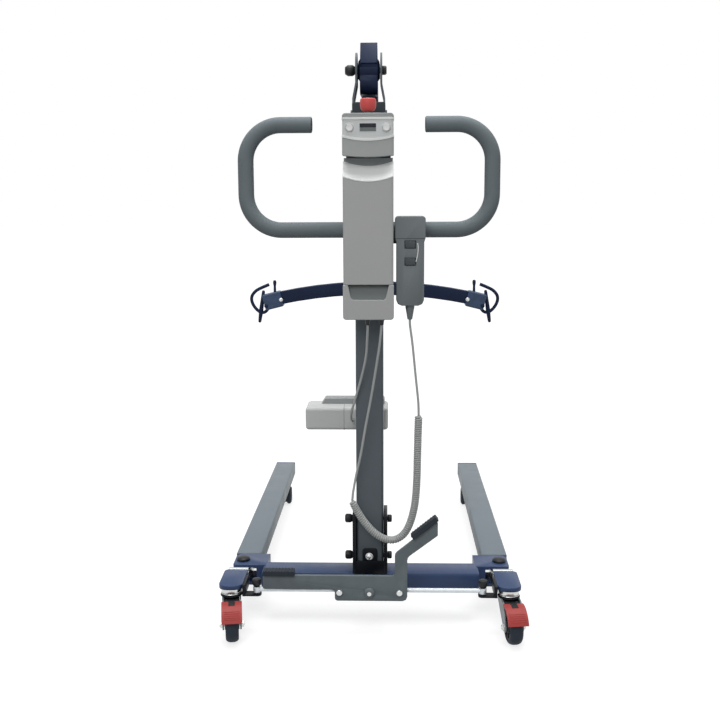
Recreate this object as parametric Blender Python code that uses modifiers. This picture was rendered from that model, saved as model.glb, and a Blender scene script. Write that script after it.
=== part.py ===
"""Patient lift: a wheeled base, a mast, a powered boom and a spreader bar.

Metres, +Z up, X across the lift and Y forward along the legs. The world's
origin is on the floor, under the middle of the lift. Most pieces are placed
from the mast's foot, so their Y values count from the mast's centre line.
"""
import math

import bmesh
import bpy
import numpy as np
from mathutils import Matrix, Vector

# Fits
GAP = 0.0003
BORE_FIT = 0.0004
RUNNING_FIT = 0.0008

# Cross tube of the base
CROSS_HALF_LENGTH = 0.246
CROSS_DEPTH = 0.070
CROSS_BOTTOM = 0.068
CROSS_TOP = 0.116
CROSS_ROUND = 0.007

# Leg clevis at each end of the cross tube, and the bolt that the leg turns on
PIVOT_X = 0.2965
PIVOT_Y = 0.043
CLEVIS_REAR = 0.009
CLEVIS_FRONT = 0.083
CLEVIS_OUTER = 0.316
CLEVIS_PLATE = 0.006
CLEVIS_WEB = 0.016
CLEVIS_CORNER = 0.014
CLEVIS_INSET = 0.0002
PIVOT_BOLT_RADIUS = 0.006
PIVOT_CAP_RADIUS = 0.0135
PIVOT_CAP_HEIGHT = 0.006
PIVOT_NUT_RADIUS = 0.010
PIVOT_NUT_HEIGHT = 0.007

# Legs
LEG_X = 0.290
LEG_WIDTH = 0.060
LEG_HEIGHT = 0.040
LEG_WALL = 0.003
LEG_BOTTOM = 0.076
LEG_REAR = 0.088
LEG_FRONT = 0.916
LEG_CAP = 0.006
LEG_PLUG = 0.014

# Hinge tongue between leg and heel
TONGUE_WIDTH = 0.0395
TONGUE_INNER = 0.277
TONGUE_BOTTOM = 0.0793
TONGUE_TOP = 0.106
TONGUE_REAR = -0.018
TONGUE_INSERT = 0.058
TONGUE_SEAT_BOTTOM = 0.0985
TONGUE_SEAT_REAR = -0.095
TONGUE_BOSS_RADIUS = 0.016

# Heel plate over the rear caster
HEEL_INNER = 0.277
HEEL_OUTER = 0.329
HEEL_THICKNESS = 0.0097
HEEL_REAR = -0.119
HEEL_FRONT = -0.018

# Spread lever: a web down the heel's inner side and a tab that carries the ball stud
LEVER_INNER = 0.236
LEVER_WEB = 0.006
LEVER_REAR = -0.113
LEVER_FRONT = -0.090
LEVER_BOTTOM = 0.0905
LEVER_THICKNESS = 0.0035
LEVER_WEB_FRONT = -0.052
STUD_X = 0.246
STUD_Y = -0.1015
STUD_RADIUS = 0.0028
STUD_BALL_RADIUS = 0.0050
STUD_NUT_RADIUS = 0.0085
STUD_NUT_HEIGHT = 0.009

# Rear casters
REAR_CASTER_X = 0.303
REAR_CASTER_Y = -0.095
REAR_TRAIL = 0.044
REAR_WHEEL_RADIUS = 0.0375
REAR_WHEEL_WIDTH = 0.032
REAR_RACE_RADIUS = 0.022
REAR_RACE_BOTTOM = 0.0963
REAR_CROWN_BOTTOM = 0.0885
REAR_CROWN_RADIUS = 0.024
REAR_SPINDLE_RADIUS = 0.006
REAR_SPINDLE_DEPTH = 0.006
REAR_FORK_INNER = 0.0172
REAR_FORK_PLATE = 0.0035
REAR_AXLE_RADIUS = 0.004
REAR_NUT_RADIUS = 0.0075
REAR_YAW_LEFT = math.radians(9.0)
REAR_YAW_RIGHT = math.radians(7.5)

# Brake pedal of a rear caster: a hood around the tyre that presses down on it
HOOD_INNER = 0.0455
HOOD_SHELL = 0.004
HOOD_WIDTH = 0.044
HOOD_LOW_ANGLE = math.radians(24.0)
HOOD_HIGH_ANGLE = math.radians(99.0)
PEDAL_PIVOT_BACK = 0.020
PEDAL_PIVOT_HEIGHT = 0.080
PEDAL_PIN_RADIUS = 0.0025
PEDAL_BOSS_RADIUS = 0.0052
PEDAL_TONGUE_WIDTH = 0.030

# Front casters
FRONT_CASTER_X = 0.285
FRONT_CASTER_Y = 0.872
FRONT_TRAIL = 0.018
FRONT_WHEEL_RADIUS = 0.025
FRONT_WHEEL_WIDTH = 0.014
FRONT_BODY_HALF = 0.0040
FRONT_AXLE_RADIUS = 0.003
FRONT_STEM_RADIUS = 0.005
FRONT_STEM_TOP = 0.094

# Rocker pedal across the back of the base
ROCKER_Z = 0.1025
ROCKER_REAR = -0.115
ROCKER_THICKNESS = 0.008
ROCKER_LINK_X = 0.065
ROCKER_BOLT_RADIUS = 0.006
LINK_HEAD_RADIUS = 0.0075
LINK_HEAD_HEIGHT = 0.005
ROCKER_BOSS_RADIUS = 0.013
ROCKER_LEFT = -0.075
ROCKER_ARM_LEFT = -0.231
ROCKER_ARM_X = (0.055, 0.082)
ROCKER_OUTER_BEND = (0.082, 0.1816)
ROCKER_OUTER_TIP = (0.147, 0.2310)
ROCKER_INNER_TIP = (0.147, 0.2644)
ROCKER_INNER_BEND = (0.055, 0.1895)
PAD_LENGTH = 0.068
PAD_OVERHANG = 0.002
PAD_THICKNESS = 0.012
PAD_DEPTH = 0.022

# Tie rods
TIE_ROD_RADIUS = 0.005
TIE_ROD_Z = 0.103
TIE_HOUSING_RADIUS = 0.0080
TIE_HOUSING_BOTTOM = 0.0965
TIE_HOUSING_TOP = 0.1095
TIE_BORE_RADIUS = 0.0055
TIE_TILT_GAP = 0.0025
TIE_EYE_RADIUS = 0.010
TIE_EYE_THICKNESS = 0.008
TIE_EYE_GAP = 0.0015

# Mast and its socket
MAST_WIDTH = 0.060
MAST_DEPTH = 0.070
MAST_WALL = 0.003
MAST_TOP = 1.140
MAST_ROUND = 0.004
SOCKET_PLATE = 0.008
SOCKET_TOP = 0.254
SOCKET_REAR_TOP = 0.145
SOCKET_REAR_WALL = 0.007
CLAMP_KNOB_HEIGHTS = (0.146, 0.232)
CLAMP_BOLT_RADIUS = 0.005
CLAMP_KNOB_RADIUS = 0.010
CLAMP_KNOB_LENGTH = 0.018
CLAMP_CAP_RADIUS = 0.0085
CLAMP_CAP_LENGTH = 0.010

# Mast head and boom
BOOM_PIVOT_Z = 1.210
BOOM_SLOPE = math.radians(-32.0)
HEAD_PLATE = 0.004
HEAD_BOTTOM = 1.100
HEAD_TOP_RADIUS = 0.036
HEAD_HALF_AT_PIVOT = 0.028
HEAD_BEND_LOW = 1.150
HEAD_BEND_HIGH = 1.182
HEAD_HALF_DEPTH = 0.034
HEAD_BOLT_HEIGHT = 1.120
HEAD_BOLT_SPACING = 0.036
HEAD_BOLT_RADIUS = 0.0075
BOOM_BOLT_RADIUS = 0.006
BOOM_KNOB_RADIUS = 0.0115
BOOM_KNOB_LENGTH = 0.022
BOOM_CAP_RADIUS = 0.0095
BOOM_CAP_LENGTH = 0.009
BOOM_WIDTH = 0.036
BOOM_HEIGHT = 0.054
BOOM_WALL = 0.003
BOOM_OFFSET = 0.022
BOOM_REAR = -0.027
BOOM_FRONT = 0.690
BOOM_ROUND = 0.003
BOOM_END_PLATE = 0.006
BOOM_CAP_PLATE = 0.003
KNUCKLE_HALF = 0.0186
KNUCKLE_HUB_HALF = 0.0233
KNUCKLE_HUB_RADIUS = 0.015
KNUCKLE_HUB_B = -0.004
KNUCKLE_ROUND_RADIUS = 0.024
KNUCKLE_ROUND_AT = (0.012, -0.023)
KNUCKLE_FRONT = 0.080

# Boom tip, hanger and spreader
HANGER_PIN_A = 0.710
HANGER_PIN_B = -0.004
HANGER_PIN_RADIUS = 0.005
LUG_INNER = 0.0095
LUG_PLATE = 0.005
LUG_RADIUS = 0.013
HANGER_WIDTH = 0.018
HANGER_DEPTH = 0.022
HANGER_FOOT = 0.012
HANGER_FOOT_RADIUS = 0.015
SPREADER_Z = 0.702
SPREADER_SAG = 0.022
SPREADER_SAG_AT = 0.237
SPREADER_HALF = 0.267
SPREADER_HEIGHT = 0.036
SPREADER_DEPTH = 0.028
SWIVEL_BOLT_RADIUS = 0.006
END_BLOCK_LENGTH = 0.052
END_BLOCK_HEIGHT = 0.044
END_BLOCK_PLATE = 0.005
END_BLOCK_AT = (0.282, 0.668)
END_BLOCK_TILT = math.radians(14.0)
HOOK_RADIUS = 0.0045
HORN = ((0.2935, 0.712), (0.302, 0.7085), (0.316, 0.7025), (0.331, 0.694), (0.3415, 0.681), (0.343, 0.667),
        (0.337, 0.652), (0.327, 0.640), (0.316, 0.6335), (0.304, 0.6365), (0.294, 0.650))
PRONG = ((0.309, 0.696), (0.322, 0.605))
PRONG_RADIUS = 0.0048
PRONG_SHIFT = 0.0007
SPIKE = ((0.2775, 0.678), (0.2775, 0.7245))
SPIKE_RADIUS = 0.0042

# Control stack behind the mast
STACK_REAR = -0.120
CONTROL_HALF = 0.0526
CONTROL_BOTTOM = 1.031
CONTROL_TOP = 1.113
BATTERY_HALF = 0.0515
BATTERY_BOTTOM = 0.769
BATTERY_SHOULDER = 0.976
BATTERY_TOP = 1.0085
POWER_BOTTOM = 0.696
POWER_TOP = 0.7685
POWER_HALF = 0.0525
BACKPLATE_REAR = -0.0755
BACKPLATE_THICKNESS = 0.0045
BACKPLATE_HALF = 0.046
SADDLE_HALF = 0.026
SADDLE_HEIGHT = 0.050
STANDOFFS = ((0.705, 0.760), (1.020, 1.090))
POWER_RECESS = 0.738
STOP_RADIUS = 0.0165
STOP_HEIGHT = 0.026
STOP_Y = -0.090
STOP_TRAVEL = 0.004
BUTTON_X = 0.037
BUTTON_Z = 1.084
BUTTON_RADIUS = 0.007
BUTTON_PROUD = 0.003
BUTTON_DEPTH = 0.005
BUTTON_TRAVEL = 0.0015
DISPLAY_LOW = (-0.017, 1.076)
DISPLAY_HIGH = (0.017, 1.0915)

# Push handle
HANDLE_RADIUS = 0.0165
HANDLE_Y = -0.0525
HANDLE_LOW = 0.879
HANDLE_HIGH = 1.095
HANDLE_SIDE_X = 0.257
HANDLE_BEND = 0.074
HANDLE_END_X = 0.1185

# Hand pendant
PENDANT_X = 0.086
PENDANT_REAR = -0.108
PENDANT_FRONT = -0.073
PENDANT_HEAD_HALF = 0.0315
PENDANT_BODY_HALF = 0.0288
PENDANT_TOP = 0.908
PENDANT_NECK = 0.863
PENDANT_BOTTOM = 0.724
PENDANT_RELIEF_BOTTOM = 0.694
PENDANT_BUTTON_HEIGHTS = (0.815, 0.850)

# Actuator
ACTUATOR_PIVOT_Y = 0.092
ACTUATOR_PIVOT_Z = 0.400
ACTUATOR_BOOM_A = 0.150
ACTUATOR_BOOM_B = -0.036
ACTUATOR_BARREL = 0.470
ACTUATOR_BORE_START = 0.235
LOWER_EAR_INNER = 0.0145
LOWER_EAR_PLATE = 0.004
ACTUATOR_PIN_RADIUS = 0.005
ACTUATOR_TUBE_RADIUS = 0.019
ACTUATOR_ROD_RADIUS = 0.0105
MOTOR_LEFT = -0.148
MOTOR_RIGHT = 0.040
MOTOR_BOTTOM = 0.424
MOTOR_TOP = 0.476
MOTOR_REAR = 0.048
MOTOR_FRONT = 0.136
BRACKET_RADIUS = 0.031
BRACKET_INNER = 0.012
BRACKET_PLATE = 0.004

# Curly cord
CORD_RADIUS = 0.0025
CORD_SPACING = 0.018
LEAD_RADIUS = 0.0025
COIL_RADIUS = 0.0061
COIL_TURNS = 41
COIL_POINTS_PER_TURN = 8
COIL_RAMP = 0.8
COIL_STRAIGHT = 0.006
UPPER_CORD = ((0.086, -0.0905, 0.6937), (0.0863, -0.0905, 0.682), (0.092, -0.0895, 0.639), (0.0985, -0.087,
                                                                                            0.575),
              (0.1042, -0.084, 0.521), (0.1055, -0.082, 0.4987), (0.1055, -0.082, 0.4927))
COIL_ROUTE = ((0.1055, -0.082, 0.4924), (0.1055, -0.082, 0.484), (0.1045, -0.079, 0.443), (0.1035, -0.077,
                                                                                           0.392),
              (0.1028, -0.075, 0.351), (0.1008, -0.073, 0.311), (0.0965, -0.071, 0.276), (0.087, -0.069,
                                                                                          0.241),
              (0.0735, -0.067, 0.217), (0.054, -0.065, 0.2045), (0.032, -0.063, 0.206), (0.010, -0.061,
                                                                                         0.219),
              (-0.0105, -0.060, 0.2415), (-0.0275, -0.060, 0.268), (-0.0375, -0.061, 0.290), (-0.0375,
                                                                                              -0.061, 0.296))
LOWER_CORD = ((-0.0375, -0.061, 0.2963), (-0.0375, -0.061, 0.302), (-0.029, -0.061, 0.350), (-0.019, -0.063,
                                                                                             0.395),
              (-0.0075, -0.067, 0.462), (0.003, -0.072, 0.518), (0.014, -0.080, 0.584), (0.0225, -0.0905,
                                                                                         0.640),
              (0.027, -0.097, 0.684), (0.027, -0.097, 0.6957))
LEAD_ROUTE = ((-0.002, -0.097, 0.6957), (-0.002, -0.097, 0.685), (-0.003, -0.088, 0.660), (-0.007, -0.066,
                                                                                           0.610),
              (-0.018, -0.051, 0.560), (-0.031, -0.044, 0.515), (-0.040, -0.028, 0.480), (-0.041, 0.000,
                                                                                          0.458),
              (-0.040, 0.030, 0.450), (-0.040, 0.042, 0.450), (-0.040, 0.0477, 0.450))

REAR_REACH = -REAR_CASTER_Y + REAR_TRAIL + HOOD_INNER + HOOD_SHELL
FRONT_REACH = LEG_FRONT + LEG_CAP
MAST_Y = (REAR_REACH - FRONT_REACH) / 2

SIDES = (("left", -1), ("right", 1))

OUTLINE_TURN = {
    "X": Matrix(((0, 0, 1), (1, 0, 0), (0, 1, 0))).to_4x4(),
    "Y": Matrix(((1, 0, 0), (0, 0, -1), (0, 1, 0))).to_4x4(),
    "Z": Matrix.Identity(4),
}
AXIS_TURN = {
    "X": OUTLINE_TURN["X"],
    "Y": Matrix(((0, 1, 0), (0, 0, 1), (1, 0, 0))).to_4x4(),
    "Z": Matrix.Identity(4),
}


def new_collection(name):
    """Make a collection in the scene."""
    collection = bpy.data.collections.new(name)
    bpy.context.scene.collection.children.link(collection)
    return collection


def new_material(name, colour, roughness, metallic=0.0):
    """Make a Principled material from a linear colour."""
    material = bpy.data.materials.new(name)
    material.use_nodes = True
    shader = material.node_tree.nodes["Principled BSDF"]
    shader.inputs["Base Color"].default_value = (*colour, 1.0)
    shader.inputs["Roughness"].default_value = roughness
    shader.inputs["Metallic"].default_value = metallic
    return material


for leftover in list(bpy.data.objects):
    bpy.data.objects.remove(leftover, do_unlink=True)

PARTS = new_collection("patient_lift")
SHAPES = new_collection("cutters_and_joined_shapes")

FINISHES = {
    "blue": ((0.075, 0.115, 0.26), 0.35, 0.0),
    "grey": ((0.16, 0.18, 0.20), 0.45, 0.0),
    "mast": ((0.08, 0.09, 0.11), 0.4, 0.0),
    "case": ((0.42, 0.42, 0.40), 0.5, 0.0),
    "pendant": ((0.14, 0.155, 0.165), 0.5, 0.0),
    "red": ((0.48, 0.07, 0.06), 0.45, 0.0),
    "black": ((0.012, 0.012, 0.013), 0.5, 0.0),
    "rubber": ((0.02, 0.02, 0.021), 0.8, 0.0),
    "zinc": ((0.55, 0.55, 0.54), 0.35, 1.0),
    "chrome": ((0.75, 0.75, 0.75), 0.15, 1.0),
    "cord": ((0.42, 0.43, 0.42), 0.5, 0.0),
}


CHILD_FRAMES = {}


def empty(name, parent=None, location=(0.0, 0.0, 0.0), turn=None):
    """Make an empty that carries pieces, which are placed from it."""
    item = bpy.data.objects.new(name, None)
    bpy.context.scene.collection.objects.link(item)
    item.parent = parent
    item.matrix_basis = Matrix.Translation(location) @ (turn or Matrix.Identity(4))
    return item


def joint(name, parent, location):
    """Make an empty on a joint's axis, whose children are still placed in its parent's frame."""
    item = empty(name, parent, location)
    item.matrix_parent_inverse = CHILD_FRAMES.get(parent.name, Matrix.Identity(4))
    CHILD_FRAMES[item.name] = Matrix.Translation(-Vector(location))
    return item


def place(name, data, finish, parent, location, turn=None):
    """Make an object: a part with its own material, or a hidden shape when finish is None."""
    item = bpy.data.objects.new(name, data)
    if finish:
        PARTS.objects.link(item)
        data.materials.clear()
        data.materials.append(new_material(name, *FINISHES[finish]))
    else:
        SHAPES.objects.link(item)
        item.hide_render = True
        item.display_type = "WIRE"
    item.parent = parent
    item.matrix_parent_inverse = CHILD_FRAMES.get(parent.name, Matrix.Identity(4))
    item.matrix_basis = Matrix.Translation(location) @ (turn or Matrix.Identity(4))
    return item


def smooth(item, degrees=35.0):
    """Shade a piece smooth, but keep its real edges sharp."""
    item.data.shade_smooth()
    item.data.set_sharp_from_angle(angle=math.radians(degrees))
    return item


def round_edges(item, width, segments=2):
    """Round the edges of a piece with a Bevel modifier."""
    bevel = item.modifiers.new("rounded edges", "BEVEL")
    bevel.width = width
    bevel.segments = segments
    bevel.limit_method = "ANGLE"
    bevel.angle_limit = math.radians(40.0)
    return item


def block(name, low, high, parent, finish=None, rounding=0.0, segments=1):
    """Make a box between two corners, with rounded edges if asked."""
    low, high = Vector(map(min, low, high)), Vector(map(max, low, high))
    mesh = bpy.data.meshes.new(name)
    shape = bmesh.new()
    bmesh.ops.create_cube(shape, size=1.0)
    bmesh.ops.scale(shape, vec=high - low, verts=shape.verts)
    shape.to_mesh(mesh)
    shape.free()
    item = place(name, mesh, finish, parent, (low + high) / 2)
    if rounding:
        round_edges(item, rounding, segments)
    return item


def rod(name, start, end, radius, parent, finish=None, sides=16, end_radius=None):
    """Make a round bar or a cone between two points."""
    start, end = Vector(start), Vector(end)
    axis = end - start
    mesh = bpy.data.meshes.new(name)
    shape = bmesh.new()
    far = radius if end_radius is None else end_radius
    bmesh.ops.create_cone(shape, cap_ends=True, segments=sides, radius1=radius,
                          radius2=far, depth=axis.length)
    shape.to_mesh(mesh)
    shape.free()
    turn = axis.to_track_quat("Z", "Y").to_matrix().to_4x4()
    return smooth(place(name, mesh, finish, parent, (start + end) / 2, turn))


def curve_mesh(curve):
    """Turn a curve into a mesh whose caps are welded to its sides."""
    guide = bpy.data.objects.new("guide", curve)
    SHAPES.objects.link(guide)
    view = bpy.context.evaluated_depsgraph_get()
    mesh = bpy.data.meshes.new_from_object(guide.evaluated_get(view))
    bpy.data.objects.remove(guide, do_unlink=True)
    bpy.data.curves.remove(curve)
    shape = bmesh.new()
    shape.from_mesh(mesh)
    bmesh.ops.remove_doubles(shape, verts=shape.verts, dist=0.00001)
    bmesh.ops.recalc_face_normals(shape, faces=shape.faces)
    shape.to_mesh(mesh)
    shape.free()
    return mesh


def rounded_outline(corners, steps=4):
    """Give the points of an outline whose corners (u, v, radius) are rounded by arcs."""
    points = []
    count = len(corners)
    for i, (u, v, radius) in enumerate(corners):
        corner = Vector((u, v))
        if not radius:
            points.append(corner)
            continue
        back = (Vector(corners[i - 1][:2]) - corner).normalized()
        ahead = (Vector(corners[(i + 1) % count][:2]) - corner).normalized()
        half = back.angle(ahead) / 2
        middle = corner + (back + ahead).normalized() * radius / math.sin(half)
        first = corner + back * radius / math.tan(half) - middle
        last = corner + ahead * radius / math.tan(half) - middle
        sweep = first.angle_signed(last)
        for step in range(steps + 1):
            turned_arm = Matrix.Rotation(-sweep * step / steps, 2) @ first
            points.append(middle + turned_arm)
    return points


def arc_points(centre, radius, start, end, steps):
    """Give points along an arc, in outline coordinates."""
    return [(centre[0] + radius * math.cos(start + (end - start) * i / steps),
             centre[1] + radius * math.sin(start + (end - start) * i / steps))
            for i in range(steps + 1)]


def plate(name, outline, thickness, axis, centre, parent, finish=None, rounding=0.0, segments=1):
    """Make a flat piece: an outline given along the two other axes, thick along axis."""
    curve = bpy.data.curves.new(name, "CURVE")
    curve.dimensions = "2D"
    curve.fill_mode = "BOTH"
    curve.extrude = thickness / 2
    spline = curve.splines.new("POLY")
    spline.points.add(len(outline) - 1)
    for point, (u, v) in zip(spline.points, outline):
        point.co = (u, v, 0.0, 1.0)
    spline.use_cyclic_u = True
    mesh = curve_mesh(curve)
    item = place(name, mesh, finish, parent, centre, OUTLINE_TURN[axis])
    if rounding:
        round_edges(item, rounding, segments)
    return item


def turned(name, profile, axis, centre, parent, finish=None, steps=24, ring=False):
    """Make a turned piece from (radius, height) points, top to bottom down its outer side."""
    mesh = bpy.data.meshes.new(name)
    points = [(radius, 0.0, height) for radius, height in profile]
    edges = [(i, i + 1) for i in range(len(points) - 1)]
    if ring:
        edges.append((len(points) - 1, 0))
    mesh.from_pydata(points, edges, [])
    item = place(name, mesh, finish, parent, centre, AXIS_TURN[axis])
    screw = item.modifiers.new("turned", "SCREW")
    screw.steps = steps
    screw.render_steps = steps
    screw.use_merge_vertices = True
    screw.merge_threshold = 0.00001
    return item


def tube(name, points, radius, parent, finish=None, resolution=3, location=(0.0, 0.0, 0.0)):
    """Make a round bar along a list of points."""
    curve = bpy.data.curves.new(name, "CURVE")
    curve.dimensions = "3D"
    curve.bevel_depth = radius
    curve.bevel_resolution = resolution
    curve.use_fill_caps = True
    spline = curve.splines.new("POLY")
    spline.points.add(len(points) - 1)
    for point, position in zip(spline.points, points):
        point.co = (*position, 1.0)
    return smooth(place(name, curve_mesh(curve), finish, parent, location))


def smooth_route(points, spacing):
    """Give evenly spaced points along a smooth curve through hand-chosen points."""
    knots = [Vector(point) for point in points]
    knots = [2 * knots[0] - knots[1]] + knots + [2 * knots[-1] - knots[-2]]
    dense = []
    for a, b, c, d in zip(knots, knots[1:], knots[2:], knots[3:]):
        for i in range(24):
            t = i / 24
            dense.append(0.5 * (2 * b + (c - a) * t + (2 * a - 5 * b + 4 * c - d) * t ** 2
                                + (3 * b - a - 3 * c + d) * t ** 3))
    dense.append(knots[-2])
    lengths = [0.0]
    for a, b in zip(dense, dense[1:]):
        lengths.append(lengths[-1] + (b - a).length)
    count = max(2, round(lengths[-1] / spacing))
    targets = [lengths[-1] * i / count for i in range(count + 1)]
    axes = [np.interp(targets, lengths, [p[axis] for p in dense]) for axis in range(3)]
    return [Vector(position) for position in zip(*axes)]


def join(item, *shapes):
    """Weld shapes to a piece with Boolean unions."""
    for shape in shapes:
        change(item, shape, "UNION")
    return item


def cut(item, *shapes):
    """Cut shapes out of a piece."""
    for shape in shapes:
        change(item, shape, "DIFFERENCE")
    return item


def change(item, shape, operation):
    """Add one Boolean modifier with the exact solver."""
    boolean = item.modifiers.new(operation.lower() + " " + shape.name, "BOOLEAN")
    boolean.operation = operation
    boolean.solver = "EXACT"
    boolean.object = shape
    return item


def build_base(foot):
    """Cross tube with its two leg clevises, and the mast's socket on it."""
    frame = block("base_frame", (-CROSS_HALF_LENGTH, -CROSS_DEPTH / 2, CROSS_BOTTOM),
                  (CROSS_HALF_LENGTH, CROSS_DEPTH / 2, CROSS_TOP), foot, "blue", CROSS_ROUND, 2)
    bottom = CROSS_BOTTOM + CLEVIS_INSET
    top = CROSS_TOP - CLEVIS_INSET
    middle_y = (CLEVIS_REAR + CLEVIS_FRONT) / 2
    buried = CROSS_HALF_LENGTH - CLEVIS_WEB / 2
    for side, sign in SIDES:
        web_outer = CROSS_HALF_LENGTH + CLEVIS_WEB
        web = block("web " + side, (sign * buried, CLEVIS_REAR, bottom),
                    (sign * web_outer, CLEVIS_FRONT, top), foot)
        join(frame, web)
        outline = rounded_outline([
            (sign * (web_outer - 0.004), CLEVIS_REAR, 0), (sign * CLEVIS_OUTER, CLEVIS_REAR, 0.006),
            (sign * CLEVIS_OUTER, CLEVIS_FRONT, CLEVIS_CORNER),
            (sign * (web_outer - 0.004), CLEVIS_FRONT, 0)])
        for level in (bottom + CLEVIS_PLATE / 2, top - CLEVIS_PLATE / 2):
            ear = plate("ear " + side, outline, CLEVIS_PLATE, "Z", (0, 0, level), foot)
            join(frame, ear)
        bore = rod("bolt hole " + side, (sign * PIVOT_X, PIVOT_Y, bottom - 0.01),
                   (sign * PIVOT_X, PIVOT_Y, top + 0.01), PIVOT_BOLT_RADIUS + BORE_FIT, foot, sides=12)
        cut(frame, bore)
    for side, sign in SIDES:
        profile = [(0, top + GAP + PIVOT_CAP_HEIGHT), (PIVOT_CAP_RADIUS - 0.003,
                                                       top + GAP + PIVOT_CAP_HEIGHT),
                   (PIVOT_CAP_RADIUS, top + GAP + PIVOT_CAP_HEIGHT / 2), (PIVOT_CAP_RADIUS, top + GAP),
                   (PIVOT_BOLT_RADIUS, top + GAP), (PIVOT_BOLT_RADIUS, bottom - GAP),
                   (PIVOT_NUT_RADIUS, bottom - GAP), (PIVOT_NUT_RADIUS, bottom - GAP - PIVOT_NUT_HEIGHT),
                   (0, bottom - GAP - PIVOT_NUT_HEIGHT)]
        turned("leg_pivot_bolt_" + side, profile, "Z", (sign * PIVOT_X, PIVOT_Y, 0), foot, "black", steps=14)

    inner = MAST_WIDTH / 2 + 2 * GAP
    outer = inner + SOCKET_PLATE
    rear_inner = -MAST_DEPTH / 2 - GAP
    rear = rear_inner - SOCKET_REAR_WALL
    floor = CROSS_TOP + GAP
    socket = block("mast_socket", (-outer + 0.002, rear + 0.001, floor),
                   (outer - 0.002, rear_inner, SOCKET_REAR_TOP), foot, "mast")
    for side, sign in SIDES:
        outline = rounded_outline([(rear, floor, 0), (MAST_DEPTH / 2, floor, 0),
                                   (MAST_DEPTH / 2, SOCKET_TOP, 0.008), (rear, SOCKET_TOP, 0.008)])
        wall = plate("socket wall " + side, outline, SOCKET_PLATE, "X",
                     (sign * (inner + outer) / 2, 0, 0), foot)
        join(socket, wall)
    for name, height in zip(("lower", "upper"), CLAMP_KNOB_HEIGHTS):
        cut(socket, rod("clamp hole", (-outer - 0.01, 0, height), (outer + 0.01, 0, height),
                        CLAMP_BOLT_RADIUS + BORE_FIT, foot, sides=12))
        knob = outer + GAP + CLAMP_KNOB_LENGTH
        cap = outer + GAP + CLAMP_CAP_LENGTH
        profile = [(0, cap), (CLAMP_CAP_RADIUS - 0.002, cap), (CLAMP_CAP_RADIUS, cap - 0.002),
                   (CLAMP_CAP_RADIUS, outer + GAP), (CLAMP_BOLT_RADIUS, outer + GAP),
                   (CLAMP_BOLT_RADIUS, -outer - GAP), (CLAMP_KNOB_RADIUS * 0.7, -outer - GAP),
                   (CLAMP_KNOB_RADIUS, -outer - GAP - 0.006), (CLAMP_KNOB_RADIUS, -knob + 0.003),
                   (CLAMP_KNOB_RADIUS * 0.7, -knob), (0, -knob)]
        turned("mast_clamp_knob_" + name, profile, "X", (0, 0, height), foot, "black", steps=14)


def build_mast(foot):
    """Mast tube, open at its ends, with the ears and pin of the actuator's foot."""
    half_width, half_depth = MAST_WIDTH / 2, MAST_DEPTH / 2
    floor = CROSS_TOP + 2 * GAP
    mast = block("mast_tube", (-half_width, -half_depth, floor), (half_width, half_depth, MAST_TOP),
                 foot, "mast", MAST_ROUND)
    root = half_depth - MAST_WALL / 2
    pivot = (ACTUATOR_PIVOT_Y, ACTUATOR_PIVOT_Z)
    ear_outline = [(root, ACTUATOR_PIVOT_Z + 0.014), (root, ACTUATOR_PIVOT_Z - 0.028)]
    ear_outline += arc_points(pivot, 0.014, math.radians(-70), math.radians(90), 8)
    ear_middle = LOWER_EAR_INNER + LOWER_EAR_PLATE / 2
    for side, sign in SIDES:
        join(mast, plate("mast ear " + side, ear_outline, LOWER_EAR_PLATE, "X", (sign * ear_middle, 0, 0),
                         foot))
    pin_end = LOWER_EAR_INNER + LOWER_EAR_PLATE + 0.004
    join(mast, rod("lower pin", (-pin_end, *pivot), (pin_end, *pivot), ACTUATOR_PIN_RADIUS, foot, sides=12))
    inner = Vector((half_width - MAST_WALL, half_depth - MAST_WALL, 0))
    cut(mast, block("mast bore", (-inner.x, -inner.y, floor - 0.01), (inner.x, inner.y, MAST_TOP + 0.01),
                    foot))
    for height in CLAMP_KNOB_HEIGHTS:
        cut(mast, rod("mast clamp hole", (-half_width - 0.01, 0, height), (half_width + 0.01, 0, height),
                      CLAMP_BOLT_RADIUS + BORE_FIT, foot, sides=12))


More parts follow.
